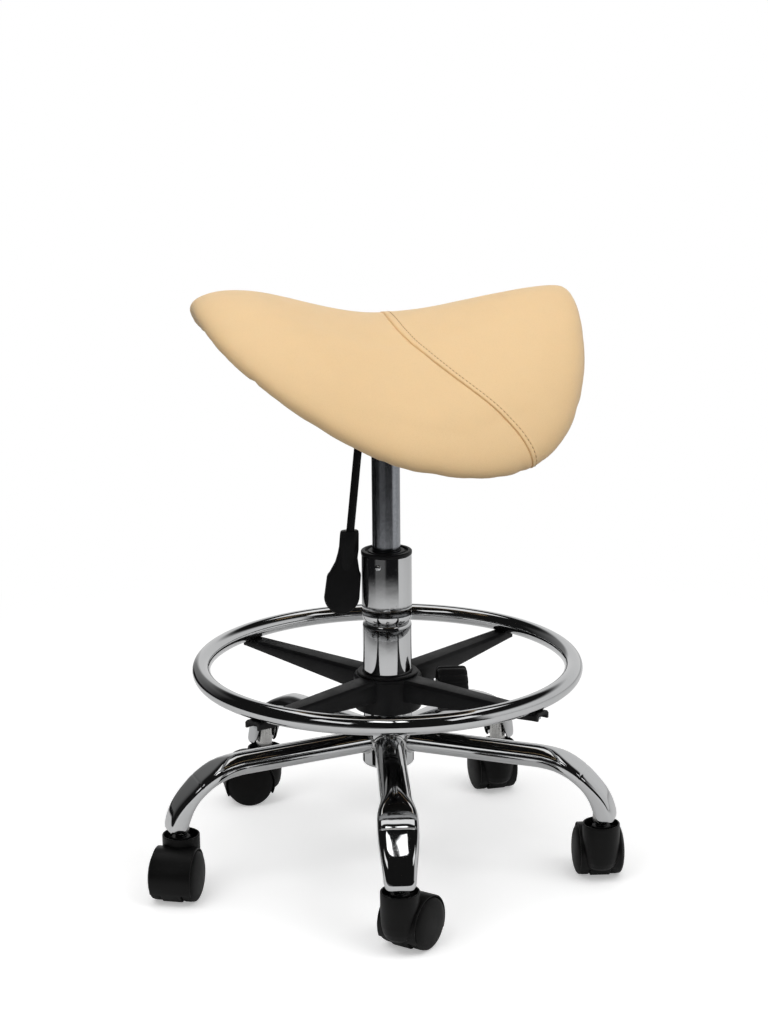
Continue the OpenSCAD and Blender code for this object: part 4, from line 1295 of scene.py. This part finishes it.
def studio_world():
    """White for the camera, and for reflections a dark room with a pale sweep and bright panels."""
    world = bpy.data.worlds.new("studio")
    bpy.context.scene.world = world
    world.use_nodes = True
    tree = world.node_tree
    tree.nodes.clear()

    def step(value, low, high, level=1.0):
        return spread(tree, value, low, high, 0.0, level, "SMOOTHSTEP")

    def off(value, middle):
        return calc(tree, "ABSOLUTE", calc(tree, "SUBTRACT", value, math.radians(middle)))

    def within(value, middle, half):
        """1 within half of a middle, with an edge of one degree."""
        return step(off(value, middle), math.radians(half), math.radians(half - 1))

    direction = add(tree, "TexCoord").outputs["Generated"]
    up = add(tree, "SeparateXYZ", {0: direction}).outputs["Z"]
    front, aside = ahead_and_aside(tree, direction)
    turn, height = calc(tree, "ARCTAN2", aside, front), calc(tree, "ARCSINE", up)
    behind = by_turn(tree, turn, (0.035, 1.0), (0.06, 0.3), (0.2, 0.0), (0.64, 0.0), (0.67, 1.0))
    room = calc(tree, "MULTIPLY_ADD", behind, step(up, 0.62, 0.42, SWEEP_LEVEL), ROOM_LEVEL)
    # a large box straight above, a little behind the seat
    ahead = calc(tree, "DIVIDE", front, up)
    beside = calc(tree, "ABSOLUTE", calc(tree, "DIVIDE", aside, up))
    above_seat = calc(tree, "MULTIPLY", step(ahead, 0.08, 0.06), step(ahead, -0.72, -0.68))
    above_seat = calc(tree, "MULTIPLY", above_seat, step(beside, 0.5, 0.47, ABOVE_LEVEL))
    room = calc(tree, "MULTIPLY_ADD", above_seat, step(up, 0.0, 0.02), room)
    # the panels rise away from the split between the first two
    slanted = calc(tree, "MULTIPLY_ADD", off(turn, PANEL_SPLIT), -PANEL_SLANT, height)
    for turn_at, half_turn, height_at, half_height, level in PANELS:
        panel = calc(tree, "MULTIPLY", within(turn, turn_at, half_turn),
                     within(slanted, height_at, half_height))
        room = calc(tree, "MULTIPLY_ADD", panel, level, room)
    mirrored = light_path(tree, "Is Glossy Ray", "Is Transmission Ray")
    ambient = calc(tree, "MULTIPLY", calc(tree, "SUBTRACT", 1.0, mirrored), AMBIENT_LEVEL)
    level = calc(tree, "MULTIPLY_ADD", mirrored, room, ambient)
    level = calc(tree, "MAXIMUM", level, light_path(tree, "Is Camera Ray"))
    background = add(tree, "Background", {"Color": WHITE, "Strength": level})
    add(tree, "OutputWorld", {"Surface": background.outputs[0]})


def floor_material():
    """Pale paper. Mirrored far in front and to the left, it gives way to the dark room."""
    material = bpy.data.materials.new("studio_floor")
    material.use_nodes = True
    tree = material.node_tree
    tree.nodes.clear()
    place = add(tree, "TexCoord").outputs["Object"]
    tone = ramp(tree, clouds(tree, place, 3.0)["Fac"], (0.3, 0.90), (0.7, 0.925))
    # the sheet bounces less light than the camera and the metal see on it
    tone = add(tree, "Mix", {0: light_path(tree, "Is Diffuse Ray"), 6: tone, 7: (FLOOR_BOUNCE,) * 3},
               data_type="RGBA").outputs[2]
    camera_only = light_path(tree, "Is Camera Ray")
    glow = emission(tree, WHITE, calc(tree, "MULTIPLY", camera_only, FLOOR_LIFT))
    sheet = add(tree, "AddShader", {0: add(tree, "BsdfDiffuse", {"Color": tone}).outputs[0], 1: glow})
    away = add(tree, "VectorMath", {0: place}, operation="LENGTH").outputs["Value"]
    ahead, aside = ahead_and_aside(tree, place)
    sector = by_turn(tree, calc(tree, "ARCTAN2", aside, ahead), (0.05, 0.0), (0.09, 1.0), (0.345, 1.0),
                     (0.365, 0.85), (0.47, 0.85), (0.5, 1.0), (0.648, 1.0), (0.66, 0.0))
    edge = spread(tree, away, 0.77, 1.09, kind="SMOOTHSTEP")
    dark = calc(tree, "MULTIPLY", calc(tree, "MULTIPLY", edge, sector),
                light_path(tree, "Is Glossy Ray"))
    seen = add(tree, "MixShader", {0: dark, 1: sheet.outputs[0],
                                   2: emission(tree, (0.012, 0.012, 0.013))})
    # far from the stool the sheet runs into the white background
    fade = spread(tree, away, 0.42, 1.15, kind="SMOOTHSTEP")
    final = add(tree, "MixShader", {0: calc(tree, "MULTIPLY", fade, camera_only),
                                    1: seen.outputs[0], 2: emission(tree, WHITE)})
    add(tree, "OutputMaterial", {"Surface": final.outputs[0]})
    return material


def floor():
    bm = bmesh.new()
    bmesh.ops.create_grid(bm, x_segments=8, y_segments=8, size=9)
    mesh = bpy.data.meshes.new("floor")
    bm.to_mesh(mesh)
    bm.free()
    plane = bpy.data.objects.new("floor", mesh)
    bpy.context.scene.collection.objects.link(plane)
    mesh.materials.append(floor_material())


def soft_box(name, azimuth, distance, height, size, power):
    """An area light that faces the stool and that the metal doesn't mirror. Azimuth 0 is towards
    the camera, and positive is to its right."""
    data = bpy.data.lights.new(name, "AREA")
    data.shape, data.size, data.size_y = "RECTANGLE", *size
    data.energy = power
    lamp = bpy.data.objects.new(name, data)
    bpy.context.scene.collection.objects.link(lamp)
    a = VIEW_AZIMUTH + math.radians(azimuth - 90)
    lamp.location = (distance * math.cos(a), distance * math.sin(a), height)
    lamp.rotation_euler = (Vector(MIDDLE) - lamp.location).to_track_quat("-Z", "Y").to_euler()
    lamp.visible_glossy = False


studio_world()
floor()
soft_box("key_box_left", -45, 1.3, 1.8, (1.15, 0.85), 9.5)
soft_box("key_box_right", 54, 1.3, 1.8, (1.15, 0.85), 9.5)
soft_box("top_box", 0, 0, 2.6, (1.8, 1.8), 12)

camera_data = bpy.data.cameras.new("camera")
camera_data.sensor_fit, camera_data.sensor_width, camera_data.lens = "AUTO", 36, LENS
camera = bpy.data.objects.new("camera", camera_data)
bpy.context.scene.collection.objects.link(camera)
camera.location = CAMERA_PLACE
level_view = Euler((math.radians(90 - PITCH), 0, VIEW_AZIMUTH + math.radians(YAW))).to_matrix()
camera.rotation_euler = (level_view @ Matrix.Rotation(math.radians(ROLL), 3, "Z")).to_euler()
bpy.context.scene.camera = camera
bpy.context.scene.view_settings.view_transform = "Standard"
